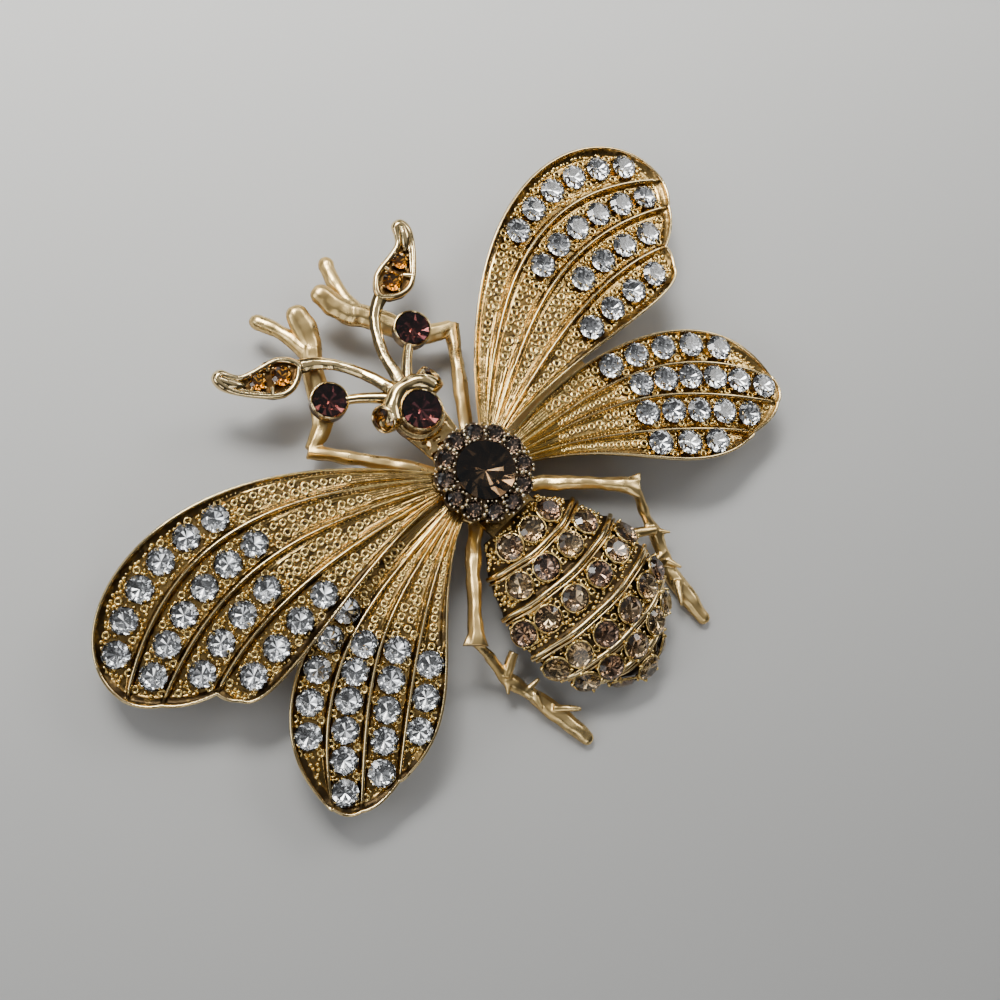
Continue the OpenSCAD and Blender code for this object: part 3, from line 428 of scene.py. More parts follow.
class Wing:
    """One kind of wing, for the right hand side, in mm and degrees.

    It droops to its tip, dips in front and turns with its pair. The rib is a rib's height, the lift a
    stone's, the middle the line of the stones across a lane, and the right wing's painted shade is lighter by
    its painted light share, as more light falls on that side.
    """

    def __init__(self, rails, lanes, reach, depth, top, droop, dip, turn, rib, lift, middle, fade):
        self.rails, self.lanes = rails, lanes
        self.reach, self.depth, self.top = reach, depth, top
        self.droop, self.dip, self.turn, self.rib = droop, dip, turn, rib
        self.lift, self.middle, self.fade = lift, middle, fade
        self.paces = [self.pace(rail) for rail in rails]

    def curve(self, rail, t):
        """Points of a rail's Bezier curve, whose row holds the root's place and three pulls."""
        pulls = [(ROOT_X, rail[0] * self.depth)]
        pulls += [(rail[i] * self.reach, rail[i + 1] * self.depth) for i in (1, 3, 5)]
        a, b, c, d = (np.array(pull)[:, None] for pull in pulls)
        return (1 - t) ** 3 * a + 3 * (1 - t) ** 2 * t * b + 3 * (1 - t) * t * t * c + t ** 3 * d

    def pace(self, rail):
        """Even steps along a rail, and its length."""
        t = np.linspace(0, 1, 201)
        run = np.concatenate([[0], np.cumsum(np.hypot(*np.diff(self.curve(rail, t), axis=1)))])
        return run / run[-1], t, run[-1]

    def rail(self, k, s):
        share, t, _ = self.paces[k]
        return self.curve(self.rails[k], np.interp(s, share, t))

    def height(self, x, across, s):
        if self.dip:
            sink = self.dip * (1 - across) * np.sin(np.pi / 2 * np.minimum(1, s / 0.5))
            return self.top - sink - self.droop * s ** 5
        return self.top - self.droop * (x / self.reach) ** 3

    def point(self, k, v, s):
        """Points on the plain surface, for arrays of v and s in lane k."""
        v, s = np.broadcast_arrays(np.asarray(v, float), np.asarray(s, float))
        v, s = v.ravel(), s.ravel()
        front, rear = self.rail(k, s), self.rail(k + 1, s)
        ahead = heading(front + rear - self.rail(k, s - 0.02) - self.rail(k + 1, s - 0.02))
        lobe = self.lanes[k][3] * LOBE_REACH * 4 * v * (1 - v) * smooth(s, 0.9, 1)
        plan = front + (rear - front) * v + ahead * lobe
        return np.stack([plan[0], plan[1], self.height(plan[0], (k + v) / 4, s)], axis=1)

    def width(self, k, s):
        """Width of a lane in mm, square to its run."""
        along = heading(self.rail(k, s + 0.01) - self.rail(k, s - 0.01))
        gap = self.rail(k + 1, s) - self.rail(k, s)
        return np.abs(gap[0] * along[1] - gap[1] * along[0])

    def room(self, k, s):
        """The width at one place."""
        return self.width(k, s)[0]

    def placed(self, points, side):
        """Right hand points turned with the pair and mirrored for the left."""
        x, y, z = (np.atleast_2d(points) * (side, 1, 1)).T
        c, s = math.cos(math.radians(self.turn)), math.sin(math.radians(self.turn))
        return np.stack([c * x - s * y, s * x + c * y, z], axis=1)

    def seat(self, k, v, s, side, lift=0.0):
        """(point, normal, ahead) on one side's wing, in the frame."""
        step = 0.004
        here = self.point(k, v, s)[0]
        ahead = self.point(k, v, min(s + step, 0.995))[0] - self.point(k, v, s - step)[0]
        over = self.point(k, v - step, s)[0] - self.point(k, v + step, s)[0]
        normal = unit(np.cross(ahead, over))
        return tuple(self.placed(np.array([here + normal * lift, normal, ahead]), side))


print("a wing has its form")

# %% [markdown]
# Five rails make the four lanes of a wing, from its front edge to its rear edge. A pull is a point that
# draws the curve towards itself, as in Blender's own Bezier curves.

# %% Wing rails
# share of the root's depth, then shares of reach and depth for two pulls and for the end
FORE_RAILS = [
    (0.190, 0.535, 1.410, 1.020, 1.030, 0.997, 0.530),
    (0.147, 0.395, 0.706, 0.662, 0.978, 0.993, 0.478),
    (0.107, 0.378, 0.419, 0.595, 0.676, 0.943, 0.335),
    (0.074, 0.314, 0.213, 0.615, 0.360, 0.836, 0.176),
    (0.059, 0.368, 0.169, 0.773, -0.140, 0.809, 0.059),
]
HIND_RAILS = [
    (0.037, 0.471, 0.207, 1.025, -0.008, 1.000, -0.802),
    (0.000, 0.369, -0.107, 0.750, 0.000, 0.996, -0.843),
    (-0.033, 0.533, -0.223, 0.631, -0.314, 0.943, -0.967),
    (-0.066, 0.344, -0.223, 0.623, -0.661, 0.803, -0.992),
    (-0.099, 0.439, -0.388, 0.492, -0.967, 0.766, -1.000),
]
# stones, share of the first, share of the last, share of the lobe reach
FORE_LANES = [(6, 0.519, 0.894, 0.1), (6, 0.517, 0.928, 0.4), (4, 0.622, 0.920, 0.7), (4, 0.554, 0.892, 0.5)]
HIND_LANES = [(5, 0.442, 0.800, 0.4), (6, 0.520, 0.944, 0.7), (5, 0.536, 0.922, 0.9), (3, 0.595, 0.831, 0.4)]
fore = Wing(FORE_RAILS, FORE_LANES, reach=29.9, depth=13.6, top=5.67, droop=2.6, dip=0,
            turn=2.2, rib=0.40, lift=0.0, middle=0.51, fade=0.32)
hind = Wing(HIND_RAILS, HIND_LANES, reach=24.6, depth=12.2, top=4.90, droop=1.3, dip=1.0,
            turn=-0.35, rib=0.30, lift=0.1, middle=0.47, fade=0.40)
SIDES = ((1, "right"), (-1, "left"))
KINDS = (("forewing", fore), ("hindwing", hind))
print("forewing rails are", [round(p[2], 1) for p in fore.paces], "mm long")

# %% [markdown]
# A wing's metal starts as a grid. Its columns gather where the ribs and the fine lines are, and each
# point is moved to its place on the wing and raised by the relief: ribs between the lanes, pairs of
# lines beside them, a fan of scratches at the root, a sunk channel for the stones and a raised margin.
# Then the sheet is extruded downwards. A modifier that thickens along the normals would fold over at the
# sharp corners of the outline.

# %% Wing relief
COLUMNS = np.array([0, 0.020, 0.040, 0.062, 0.085, 0.11, 0.135, 0.16, 0.185, 0.21, 0.235, 0.265, 0.30,
                    0.34, 0.38, 0.42, 0.46, 0.50, 0.54, 0.58, 0.62, 0.66, 0.70, 0.735, 0.765, 0.79,
                    0.815, 0.84, 0.865, 0.89, 0.915, 0.938, 0.96, 0.98])
STATIONS = 140
CHANNEL, RIB_HALF, MARGIN, RIM = 0.15, 0.34, 0.75, 0.8
# place across the lane, half width and height of the two fine lines beside a rib
SECOND, THIRD = (0.205, 0.052, 0.11), (0.285, 0.038, 0.07)
FAN_LINES, FAN_RISE = 9, 0.045
# drop of the outline's points, their painted shade and the thickness of the wing
EDGE_DROP, EDGE_SHADE, WING_WALL = 0.18, 0.3, 0.5


def bell(distance, half_width):
    """1 in the middle, 0 at the half width and beyond."""
    return 0.5 + 0.5 * np.cos(np.pi * np.clip(np.abs(distance) / half_width, 0, 1))


def rib_growth(s):
    """The ribs rise from a quarter of their height at the root."""
    return 0.25 + 0.75 * smooth(s, 0.05, 0.5)


def wing_relief(wing, k, v, s):
    """Height of the relief and its painted shade, for arrays in lane k."""
    width = np.maximum(wing.width(k, s), 0.3)
    length = wing.paces[k][2]
    first = wing.lanes[k][1]
    rooted = 1 - smooth(s, first - 0.10, first - 0.05)
    rim = smooth(1 - (1 - s) * length / RIM, 0.0, 0.55)
    near = np.minimum(v, 1 - v)
    rib = np.clip(bell(near, np.clip(RIB_HALF / width, 0.080, 0.15)) * 1.15, 0, 1)
    second = bell(near - SECOND[0], SECOND[1]) * rooted
    third = bell(near - THIRD[0], THIRD[1]) * rooted * smooth(0.36 - s, 0, 0.08)
    fan = (0.5 + 0.5 * np.cos(v * math.tau * FAN_LINES)) * rooted * smooth(0.27 - s, 0, 0.10)
    deep = CHANNEL * (1 - rooted) * (1 - rib) * (1 - rim)
    # the outline is a thin bright lip above a broad slope in painted shade
    edge = np.minimum((1 - s) * length, np.where(k == 0, v, np.where(k == 3, 1 - v, 9)) * width)
    slope = np.clip(1 - edge / MARGIN, 0, 1) * smooth(s, 0.25, 0.6)
    height = wing.rib * np.maximum(np.maximum(rib * rib_growth(s), rim * 0.6), slope) - deep
    fine = SECOND[2] * second + THIRD[2] * third + FAN_RISE * fan * (1 - rib)
    height += fine * smooth(s, 0, 0.12) * (1 - rim)
    # painted shade darkens a rib's flanks and leaves its crest bright, more broadly so near the root
    crest = rib * (5.4 - 3.0 * rooted) - (3.9 - 3.0 * rooted)
    raised = np.clip(np.maximum.reduce([crest, second, third * 0.9, fan * 0.8]), 0, 1)
    raised = raised * (1 - smooth(slope, 0.1, 0.3))
    flank = np.maximum(smooth(slope, 0.05, 0.25), smooth(rib, 0.02, 0.25))
    # painted shade: deepest on the flanks and the slope, lighter on the floor, a little more near the root
    shade = (1 - raised) * (0.55 + 0.20 * rooted + 0.45 * flank * (1 - 0.7 * rooted)) \
        + 0.10 * (1 - smooth(s, 0.10, 0.40))
    return height, np.clip(shade, 0, 1)


print("relief with", len(COLUMNS), "columns to a lane")

# %% [markdown]
# Wings, dome and bars all start as a flat grid whose points are moved, which keeps the faces even. The
# painted shade is stored with the points, where the finish finds it.


# %% Wing sheets
def grid(columns, rows):
    """A flat grid and the place of each of its points, as column and row numbers."""
    sheet = added(bpy.ops.mesh.primitive_grid_add, x_subdivisions=columns, y_subdivisions=rows, size=1)
    flat = np.empty(len(sheet.data.vertices) * 3)
    sheet.data.vertices.foreach_get("co", flat)
    flat = flat.reshape(-1, 3)
    return sheet, np.rint((flat[:, 0] + 0.5) * columns).astype(int), \
        np.rint((flat[:, 1] + 0.5) * rows).astype(int)


def shaded(piece, shade):
    """Gives a piece its painted shade, one number for each point."""
    piece.data.attributes.new("shade", "FLOAT", "POINT").data.foreach_set("value", shade)
    return piece


def lay(sheet, place):
    """Moves the points of a sheet to places in mm."""
    sheet.data.vertices.foreach_set("co", (np.asarray(place) * MM).ravel())
    sheet.data.update()
    return sheet


def wing_sheet(wing, side):
    """One wing's metal, from a grid that is laid on the rails."""
    columns = np.concatenate([k + COLUMNS for k in range(4)] + [[4.0]])
    sheet, column, row = grid(len(columns) - 1, STATIONS)
    across, along = columns[column], row / STATIONS
    place = np.zeros((len(column), 3))
    shade = np.zeros(len(column))
    for k in range(4):
        mine = (across >= k) & ((across < k + 1) | (k == 3))
        v, s = across[mine] - k, along[mine]
        rise, dark = wing_relief(wing, k, v, s)
        p = wing.point(k, v, s)
        p[:, 2] += rise
        # painted light: the right wing gets less painted shade, since more light falls on it
        fade = wing.fade * smooth(s, 0.35, 0.7) if wing is fore else wing.fade
        place[mine], shade[mine] = p, dark * (1 - fade * (side > 0))
    # the outline's points drop a little and get a lighter painted shade
    edge = (across == 0) | (across == 4) | (along == 1)
    place[edge, 2] -= EDGE_DROP
    shade[edge] = EDGE_SHADE
    shaded(lay(sheet, wing.placed(place, side)), shade)
    edit()
    extrude(-WING_WALL * MM)
    return smooth_by(closed_up(), 50)


print("wings are sheets of", STATIONS, "rows")

# %% [markdown]
# Each pair of wings is one casting with a round plate between them. The plate is spun from its section,
# as on a lathe.


# %% Wing castings
def spun(section, steps=64):
    """A closed ring of metal, spun about Z from its section of radius and height in mm."""
    ring = added(bpy.ops.mesh.primitive_circle_add, vertices=len(section), radius=1)
    for vertex, (r, z) in zip(ring.data.vertices, section):
        vertex.co = Vector((r, 0, z)) * MM
    edit()
    bpy.ops.mesh.spin(steps=steps, angle=math.tau, center=(0, 0, 0), axis=(0, 0, 1))
    return smooth_by(closed_up(MERGE), 40)


def round_plate(top, wall=0.6, radius=3.2, hole=0.95):
    """The round plate of a casting, with the rivet's hole."""
    return spun([(hole, top - wall), (radius, top - wall), (radius, top), (hole, top)])


for kind, wing in KINDS:
    casting = join([wing_sheet(wing, 1), wing_sheet(wing, -1), round_plate(wing.top)])
    finished(casting, kind + "_castings", [antique_gold], [kind + "s"])
    print(kind, "castings have", len(casting.data.polygons), "faces")

# %% [markdown]
# Thin polished bars run along the outline of each wing and on the crests of its ribs. They catch the
# light as one bright line above the slopes in painted shade.


# %% Bright lines of the wings
def rod(rows, closed=False, around=12):
    """A round bar along rows of x, y, z and radius in mm."""
    if not closed:
        first, last = rows[0] * 1.01 - rows[1] * 0.01, rows[-1] * 1.01 - rows[-2] * 0.01
        first[3] = last[3] = 0
        rows = np.vstack([first, rows, last])
    sheet, column, row = grid(around, len(rows) - 1)
    line, radius = rows[:, :3], rows[:, 3:4]
    ahead = np.gradient(line, axis=0)
    if closed:
        ahead[0] = ahead[-1] = line[1] - line[-2]
    side = unit(np.cross(ahead, (0, 0, 1)))
    up = unit(np.cross(side, ahead))
    angle = (math.tau * column / around)[:, None]
    lay(sheet, line[row] + radius[row] * (np.cos(angle) * side[row] + np.sin(angle) * up[row]))
    edit()
    return smooth_by(closed_up(MERGE), 60)


def crest_rows(wing, k, v, s, side, rise=0.0):
    """Rows of a thin bar on the wing, for arrays of v and s in lane k."""
    points = wing.point(k, v, s)
    points[:, 2] += wing.rib * rib_growth(s) + rise
    return np.column_stack([wing.placed(points, side), 0.05 + 0.08 * smooth(s, 0.1, 0.55)])


# the steps grow short towards the corners of the outline
OUTLINE_RISE = -0.08
run = 0.14 + 0.86 * np.sin(np.linspace(0, math.pi / 2, 50))
lobe = 0.5 - 0.5 * np.cos(np.linspace(0, math.pi, 19))[1:]
for kind, wing in KINDS:
    bars = []
    for side, _ in SIDES:
        outline = [crest_rows(wing, 0, 0.0, run, side, OUTLINE_RISE)]
        outline += [crest_rows(wing, k, lobe, np.ones(18), side, OUTLINE_RISE) for k in range(4)]
        outline += [crest_rows(wing, 3, 1.0, run[-2::-1], side, OUTLINE_RISE)]
        bars.append(rod(np.vstack(outline), around=8))
        for k in (1, 2, 3):
            bars.append(rod(crest_rows(wing, k, 0.0, np.linspace(0.22, 0.97, 40), side), around=8))
    finished(join(bars), kind + "_lines", [pale_gold])
    print(kind, "has", len(bars), "bright lines")

# %% [markdown]
# A cut stone is modelled once. A ring becomes the girdle, its crown is extruded up and in to the table,
# and its pavilion runs down to a point. The faces below the girdle get the mirror finish.

# %% Facets
# shares of a stone's width, where the point is the depth of a solid stone below its girdle
STONE_GIRDLE, STONE_POINT = 0.04, 0.17


def at_level(vertex, level):
    return abs(vertex.co.z - level) < 0.0001


def drawn_in(gem, sides, level, radius):
    """Moves the corners at a level, two by two, to one corner of a ring with half as many."""
    step = math.tau / sides
    for vertex in gem.data.vertices:
        if at_level(vertex, level):
            angle = (math.floor(math.atan2(vertex.co.y, vertex.co.x) / step + 0.01) + 0.25) * step
            vertex.co.x = radius * math.cos(angle)
            vertex.co.y = radius * math.sin(angle)
    edit()
    bpy.ops.mesh.remove_doubles(threshold=0.0005)
    done()


def pick_level(gem, level):
    """Selects the edges and faces that lie at a level."""
    edit("DESELECT")
    done()
    for vertex in gem.data.vertices:
        vertex.select = at_level(vertex, level)
    for part in list(gem.data.edges) + list(gem.data.polygons):
        part.select = all(gem.data.vertices[i].select for i in part.vertices)
    bpy.ops.object.mode_set(mode="EDIT")


print("facet tools ready")

# %% [markdown]
# One function cuts all the stones. The small ones have a steep crown. The round ones and the large one
# have more facets, a flat crown and a smaller table.


# %% Stone models
def gem_model(sides, table=0.62, crown=0.12, depth=0.125, waist=0.26, ripple=0.007):
    """A stone 1 mm wide, with the top of its girdle at the origin.

    Its facets meet at the table, at the waist halfway down and at the point. The ripple moves every
    other corner of the waist, so that neighbouring facets throw the light to different places.
    """
    gem = added(bpy.ops.mesh.primitive_circle_add, vertices=sides * 2, radius=0.5, fill_type="NGON")
    edit()
    extrude(crown)
    done()
    drawn_in(gem, sides, crown, 0.5 * table)
    pick_level(gem, 0)
    extrude(-STONE_GIRDLE)
    waist_z = -STONE_GIRDLE - depth * (1 - waist / 0.5)
    extrude(waist_z + STONE_GIRDLE)
    bpy.ops.transform.resize(value=(waist * 2, waist * 2, 1), center_override=(0, 0, waist_z))
    extrude(-depth * waist / 0.5)
    bpy.ops.mesh.merge(type="CENTER")
    closed_up()
    for vertex in gem.data.vertices:
        if at_level(vertex, waist_z):
            corner = round(math.atan2(vertex.co.y, vertex.co.x) / math.tau * sides * 2)
            vertex.co.z += ripple * (1 if corner % 2 else -1)
    for material in stone_finish["clear"]:
        gem.data.materials.append(material)
    for polygon in gem.data.polygons:
        polygon.material_index = 1 if polygon.center.z < -STONE_GIRDLE * 1.05 else 0
    bpy.ops.object.shade_flat()
    return gem


small_gem = gem_model(8)
round_gem = gem_model(10, table=0.50, crown=0.022, depth=0.10, waist=0.28, ripple=0.010)
large_gem = gem_model(12, table=0.40, crown=0.045, depth=0.08, waist=0.30, ripple=0.005)
print("a small stone has", len(small_gem.data.polygons), "facets,",
      sum(p.material_index for p in small_gem.data.polygons), "of them silvered")


# %% [markdown]
# The clear stones lie in their lanes at even steps, each turned a little from its neighbour, as hand set
# stones are. All the stones of one field are copies of a model that are joined into one piece.

# %% Clear stones
WING_STONE, STONE_GAP, LEAN = 2.05, 0.05, 4
STONE_DEPTH = STONE_GIRDLE + STONE_POINT
chance = random.Random(5)


def stand(at, normal, ahead, size=1.0, tall=1.0):
    """A place at a point in mm whose Z is the normal and whose X runs ahead."""
    up = Vector(normal).normalized()
    side = Vector(ahead) - up * Vector(ahead).dot(up)
    side.normalize()
    turned = Matrix((side, up.cross(side), up)).transposed().to_4x4()
    return Matrix.Translation(Vector(at)) @ turned @ Matrix.Diagonal((size, size, size * tall, 1))


def twin(model):
    """A copy with a mesh of its own."""
    copy = model.copy()
    copy.data = model.data.copy()
    bpy.context.collection.objects.link(copy)
    return copy


def copies(model, places):
    """One joined mesh of copies of a model at 4x4 places in mm."""
    made = [twin(model) for _ in places]
    for copy, place in zip(made, places):
        copy.matrix_world = Matrix.Scale(MM, 4) @ place
    return join(made)


def set_stones(name, model, places, tone, stands_for):
    return finished(copies(model, places), name, stone_finish[tone], stands_for)


def stone_shares(wing, k):
    """Where the stones of a lane are along it."""
    count, first, last, _ = wing.lanes[k]
    return [first + (last - first) * i / (count - 1) for i in range(count)]


def wing_stone_places(wing, side):
    rise = STONE_GAP + STONE_DEPTH * WING_STONE - CHANNEL + wing.lift
    for k in range(4):
        for i, s in enumerate(stone_shares(wing, k)):
            spin = Matrix.Rotation(0.9 * (i + 2 * k), 4, "Z")
            lean = Matrix.Rotation(math.radians(chance.uniform(-LEAN, LEAN)), 4, "X")
            yield stand(*wing.seat(k, wing.middle, s, side, rise), WING_STONE) @ lean @ spin


stones_at = {}
for kind, wing in KINDS:
    for side, word in SIDES:
        stones_at[kind, word] = list(wing_stone_places(wing, side))
        set_stones(f"{kind}_gems_{word}", small_gem, stones_at[kind, word], "clear",
                   [f"{kind}_stones_{word}"])
print("clear stones are set")

# %% [markdown]
# Between the stones sit small tubes and beads of metal, the ends of the prongs. From the first stone to
# the root each lane is filled by two chains of little rings, and dots run in the grooves beside them. All
# of these are cast in one with the wing. Here they are copies of two rings, a bead and a dot.


# %% Rings, bead and dot
def painted_shade_below(piece, reach):
    """Paints shade on a small model towards its foot, which lies at the reach below its middle."""
    z = np.array([vertex.co.z for vertex in piece.data.vertices])
    bpy.ops.object.shade_smooth()
    return shaded(piece, 1 - smooth(z, -reach, reach * 0.6))


def bead_model():
    """A small ball of 1 mm radius."""
    ball = added(bpy.ops.mesh.primitive_uv_sphere_add, segments=10, ring_count=6, radius=1)
    return painted_shade_below(ball, 0.9)


def ring_model(radius, wire, steps=14):
    ring = added(bpy.ops.mesh.primitive_torus_add, major_segments=steps, minor_segments=6,
                 major_radius=radius, minor_radius=wire)
    return painted_shade_below(ring, wire)


# rings, bead and dot carry painted shade towards their feet
ring = ring_model(radius=0.25, wire=0.125)
small_ring = ring_model(radius=0.235, wire=0.105, steps=12)
bead = bead_model()
dot = painted_shade_below(added(bpy.ops.mesh.primitive_ico_sphere_add, subdivisions=1, radius=1), 0.9)
print("two rings, a bead and a dot")

# %% [markdown]
# A wide lane takes two chains that are staggered, and a narrow one takes one chain of smaller rings. No
# two rings are quite alike, as in wax that was worked by hand.

# %% Places of rings, tubes and prongs
# how wide a lane is that takes two chains of rings, tubes and prongs
TWO_CHAINS_FROM, TUBES_FROM, PRONGS_FROM = 2.0, 1.7, 1.5
# places of the two chains, across and behind each other
RING_STEP, TWO_CHAINS = 0.75, ((-0.37, 0.0), (0.37, 0.38))
# from a stone's middle to the first ring, and to a tube or prong beside it
FIRST_RING, TUBE_OUT, PRONG_ALONG, PRONG_OUT = 1.35, 0.93, 0.72, 0.74
LANE_END = 0.975


def chain_places(wing, side):
    """Two staggered chains of rings in each lane, from the first stone to the root."""
    for k in range(4):
        length = wing.paces[k][2]
        s = wing.lanes[k][1] - FIRST_RING / length
        while s > 0.20:
            width = wing.room(k, s)
            if width > TWO_CHAINS_FROM:
                size, offsets = 0.94, TWO_CHAINS
            else:
                size, offsets = max(0.5, min(1.0, width / 1.9)), ((0.0, 0.0),)
            for over, back in offsets:
                over += chance.uniform(-0.05, 0.05)
                seat = wing.seat(k, wing.middle + over / width, s - back / length, side, 0.04)
                yield stand(*seat, size * chance.uniform(0.86, 1.10), chance.uniform(0.7, 1.2))
            s -= (RING_STEP if len(offsets) > 1 else 0.74 * size) / length


def tube_places(wing, side):
    """Places beside the lane's middle, between two stones, before the first and after the last."""
    for k in range(4):
        shares = stone_shares(wing, k)
        half = (shares[1] - shares[0]) / 2
        for s in [shares[0] - half] + [a + half for a in shares[:-1]] + [min(shares[-1] + half, 0.965)]:
            width = wing.room(k, s)
            if width >= TUBES_FROM:
                for way in (-1, 1):
                    v = wing.middle + way * min(TUBE_OUT / width, 0.36)
                    yield stand(*wing.seat(k, v, s, side, -0.05))


def prong_places(wing, side):
    """Four beads round each stone, on posts."""
    for k in range(4):
        length = wing.paces[k][2]
        for s in stone_shares(wing, k):
            width = wing.room(k, s)
            for along, over in ((-1, -1), (-1, 1), (1, -1), (1, 1)):
                share = s + along * PRONG_ALONG / length
                if share < LANE_END and width > PRONGS_FROM:
                    v = wing.middle + over * min(PRONG_OUT / width, 0.42)
                    yield stand(*wing.seat(k, v, share, side, 0.12), 0.15, 2.0)


print("a forewing takes", len(list(prong_places(fore, 1))), "prongs")

# %% [markdown]
# The floor between the stones is rough. Grains of uneven size fill it wherever no stone, tube or ring is
# near, and a row of dots follows each rib.

# %% Places of grains and dots
GRAIN_STEP, DOT_STEP = 0.38, 0.34
# how far from the middle of a stone, a tube and a ring the grains keep
STONE_CLEAR, TUBE_CLEAR, RING_CLEAR = 1.10, 0.40, 0.36


def clear_of(at, taken):
    """True where no place taken is nearer than its own clear radius."""
    return all((Vector(at) - spot).length > clear for spot, clear in taken)


def grain_places(wing, side, taken):
    """Uneven grains that fill the floor of the stone lanes, clear of the places taken."""
    for k in range(4):
        length = wing.paces[k][2]
        share = 0.30
        while share < LANE_END:
            width = wing.room(k, share)
            least = 0.36 if share > wing.lanes[k][1] - 0.9 / length else 0.27 * width
            count = int(width / GRAIN_STEP)
            for step in range(count):
                v = (step + 0.5 + chance.uniform(-0.3, 0.3)) / count
                s = min(0.985, share + chance.uniform(-0.12, 0.12) / length)
                seat = wing.seat(k, v, s, side, -0.10)
                if min(v, 1 - v) * width > least and clear_of(seat[0], taken):
                    yield stand(*seat, chance.uniform(0.14, 0.26), 0.7)
            share += GRAIN_STEP / length


def dot_places(wing, side):
    """Dots in the grooves beside the ribs."""
    for k in range(4):
        length = wing.paces[k][2]
        for v in (0.128, 0.872):
            for s in np.arange(0.17, wing.lanes[k][1] - 0.02, DOT_STEP / length):
                size = min(0.085, 0.033 * wing.room(k, s))
                yield stand(*wing.seat(k, v, s, side, 0.035), size)


print("a forewing takes", len(list(dot_places(fore, 1))), "dots")

# %% [markdown]
# Now each pair of wings gets its trim, all in one piece.

# %% Trim of the wings
for kind, wing in KINDS:
    chains, tubes, prongs, dots = [], [], [], []
    for side, word in SIDES:
        chain, beside = list(chain_places(wing, side)), list(tube_places(wing, side))
        chains += chain
        tubes += beside
        prongs += prong_places(wing, side)
        kept_clear = (stones_at[kind, word], STONE_CLEAR), (beside, TUBE_CLEAR), (chain, RING_CLEAR)
        taken = [(place.translation, clear) for places, clear in kept_clear for place in places]
        dots += [*dot_places(wing, side), *grain_places(wing, side, taken)]
    trim = [copies(ring, chains), copies(small_ring, tubes), copies(bead, prongs), copies(dot, dots)]
    finished(join(trim), kind + "_rings", [antique_gold])
    print(kind, "rings", len(chains), "tubes", len(tubes), "prongs", len(prongs), "dots", len(dots))

# %% [markdown]
# The abdomen is a casting like half an egg. Five polished cross ridges divide it into rows of stones. Its
# sections are given as shares of its length, half width and rise.

# %% Dome of the abdomen
ABDOMEN_FRONT, ABDOMEN_LENGTH, ABDOMEN_HALF = -3.9, 15.4, 6.5
ABDOMEN_RISE, ABDOMEN_BASE, ROW_BOW = 3.0, 2.3, 0.95
# rise and half width of a ridge, and the painted shade of the whole dome, deeper than full
BAND_RISE, BAND_HALF, DOME_SHADE = 0.46, 0.38 / ABDOMEN_LENGTH, 1.3
DOME_EDGE = math.radians(72)
# place along the length, half width, rise, drop of the flat back towards the tail
ABDOMEN_FORM = np.array([
    (0.00, 0.46, 0.66, 0.00), (0.10, 0.59, 0.88, 0.00), (0.25, 0.79, 0.98, 0.00), (0.40, 0.94, 1.00, 0.00),
    (0.55, 1.00, 0.97, 0.00), (0.70, 0.97, 0.86, 0.03), (0.80, 0.88, 0.76, 0.08), (0.90, 0.69, 0.60, 0.15),
    (0.96, 0.48, 0.42, 0.20), (1.00, 0.30, 0.20, 0.25)])
BAND_AT = (0.199, 0.390, 0.620, 0.800, 0.925)
# place along the length, number of stones, angle between two stones
STONE_ROWS = ((0.110, 3, 31), (0.292, 4, 27), (0.494, 6, 24), (0.720, 6, 24.5), (0.866, 5, 30),
              (0.985, 3, 52))
ABDOMEN_STONE = 2.0
TAB_TOP, TAB_WALL, TAB_ROUND = 3.80, 0.45, 2.24


def dome(a, q, lift=0.0):
    """Points of the dome at the share a of its length and the angle q from its middle."""
    a, q = np.broadcast_arrays(np.asarray(a, float), np.asarray(q, float))
    half, rise, drop = (np.interp(a, ABDOMEN_FORM[:, 0], ABDOMEN_FORM[:, i]) for i in (1, 2, 3))
    x = (half * ABDOMEN_HALF + lift) * np.sin(q)
    y = ABDOMEN_FRONT - a * ABDOMEN_LENGTH + ROW_BOW * np.sin(q) ** 2 * smooth(a, 0, 0.2)
    z = ABDOMEN_BASE - drop * ABDOMEN_RISE + (rise * ABDOMEN_RISE + lift) * np.cos(q)
    return np.stack([x, y, z], axis=-1)


def abdomen_shell():
    """The dome as a grid, whose edge is extruded to the middle plane to close it."""
    across, rows = 84, 230
    sheet, column, row = grid(across + 2, rows)
    q = DOME_EDGE * (2 * np.clip(column - 1, 0, across) / across - 1)
    a = row / rows
    lift = np.zeros(len(a))
    for at in BAND_AT:
        lift = np.maximum(lift, 0.5 * BAND_RISE * bell(a - at, BAND_HALF * 1.4))
    place = dome(a, q, lift)
    plain = dome(a, q)
    skirt = (column == 0) | (column == across + 2)
    drop = np.interp(a, ABDOMEN_FORM[:, 0], ABDOMEN_FORM[:, 3]) * ABDOMEN_RISE
    place[skirt, 0] = plain[skirt, 0] * 0.96
    place[skirt, 2] = ABDOMEN_BASE - drop[skirt]
    shaded(lay(sheet, place), np.full(len(a), DOME_SHADE))
    edit("DESELECT")
    bpy.ops.mesh.select_mode(type="EDGE")
    bpy.ops.mesh.select_non_manifold(extend=False)
    bpy.ops.mesh.extrude_edges_move()
    bpy.ops.transform.resize(value=(0, 1, 1), center_override=(0, 0, 0))
    bpy.ops.mesh.select_mode(type="VERT")
    return smooth_by(closed_up(0.000005), 45)


print("dome", ABDOMEN_LENGTH, "mm long with", len(BAND_AT), "ridges")

# %% [markdown]
# The casting is the dome, a round plate for the rivet and a tab between the two. Its stones stand square
# to the dome, in rows between the ridges.


# %% Abdomen casting and stones
def dome_seat(a, q, lift):
    """(point, normal, ahead) on the dome."""
    step = 0.01
    ahead = dome(a - step, q) - dome(a + step, q)
    over = dome(a, q + 2 * step) - dome(a, q - 2 * step)
    normal = unit(np.cross(over, ahead))
    return dome(a, q) + normal * lift, normal, ahead


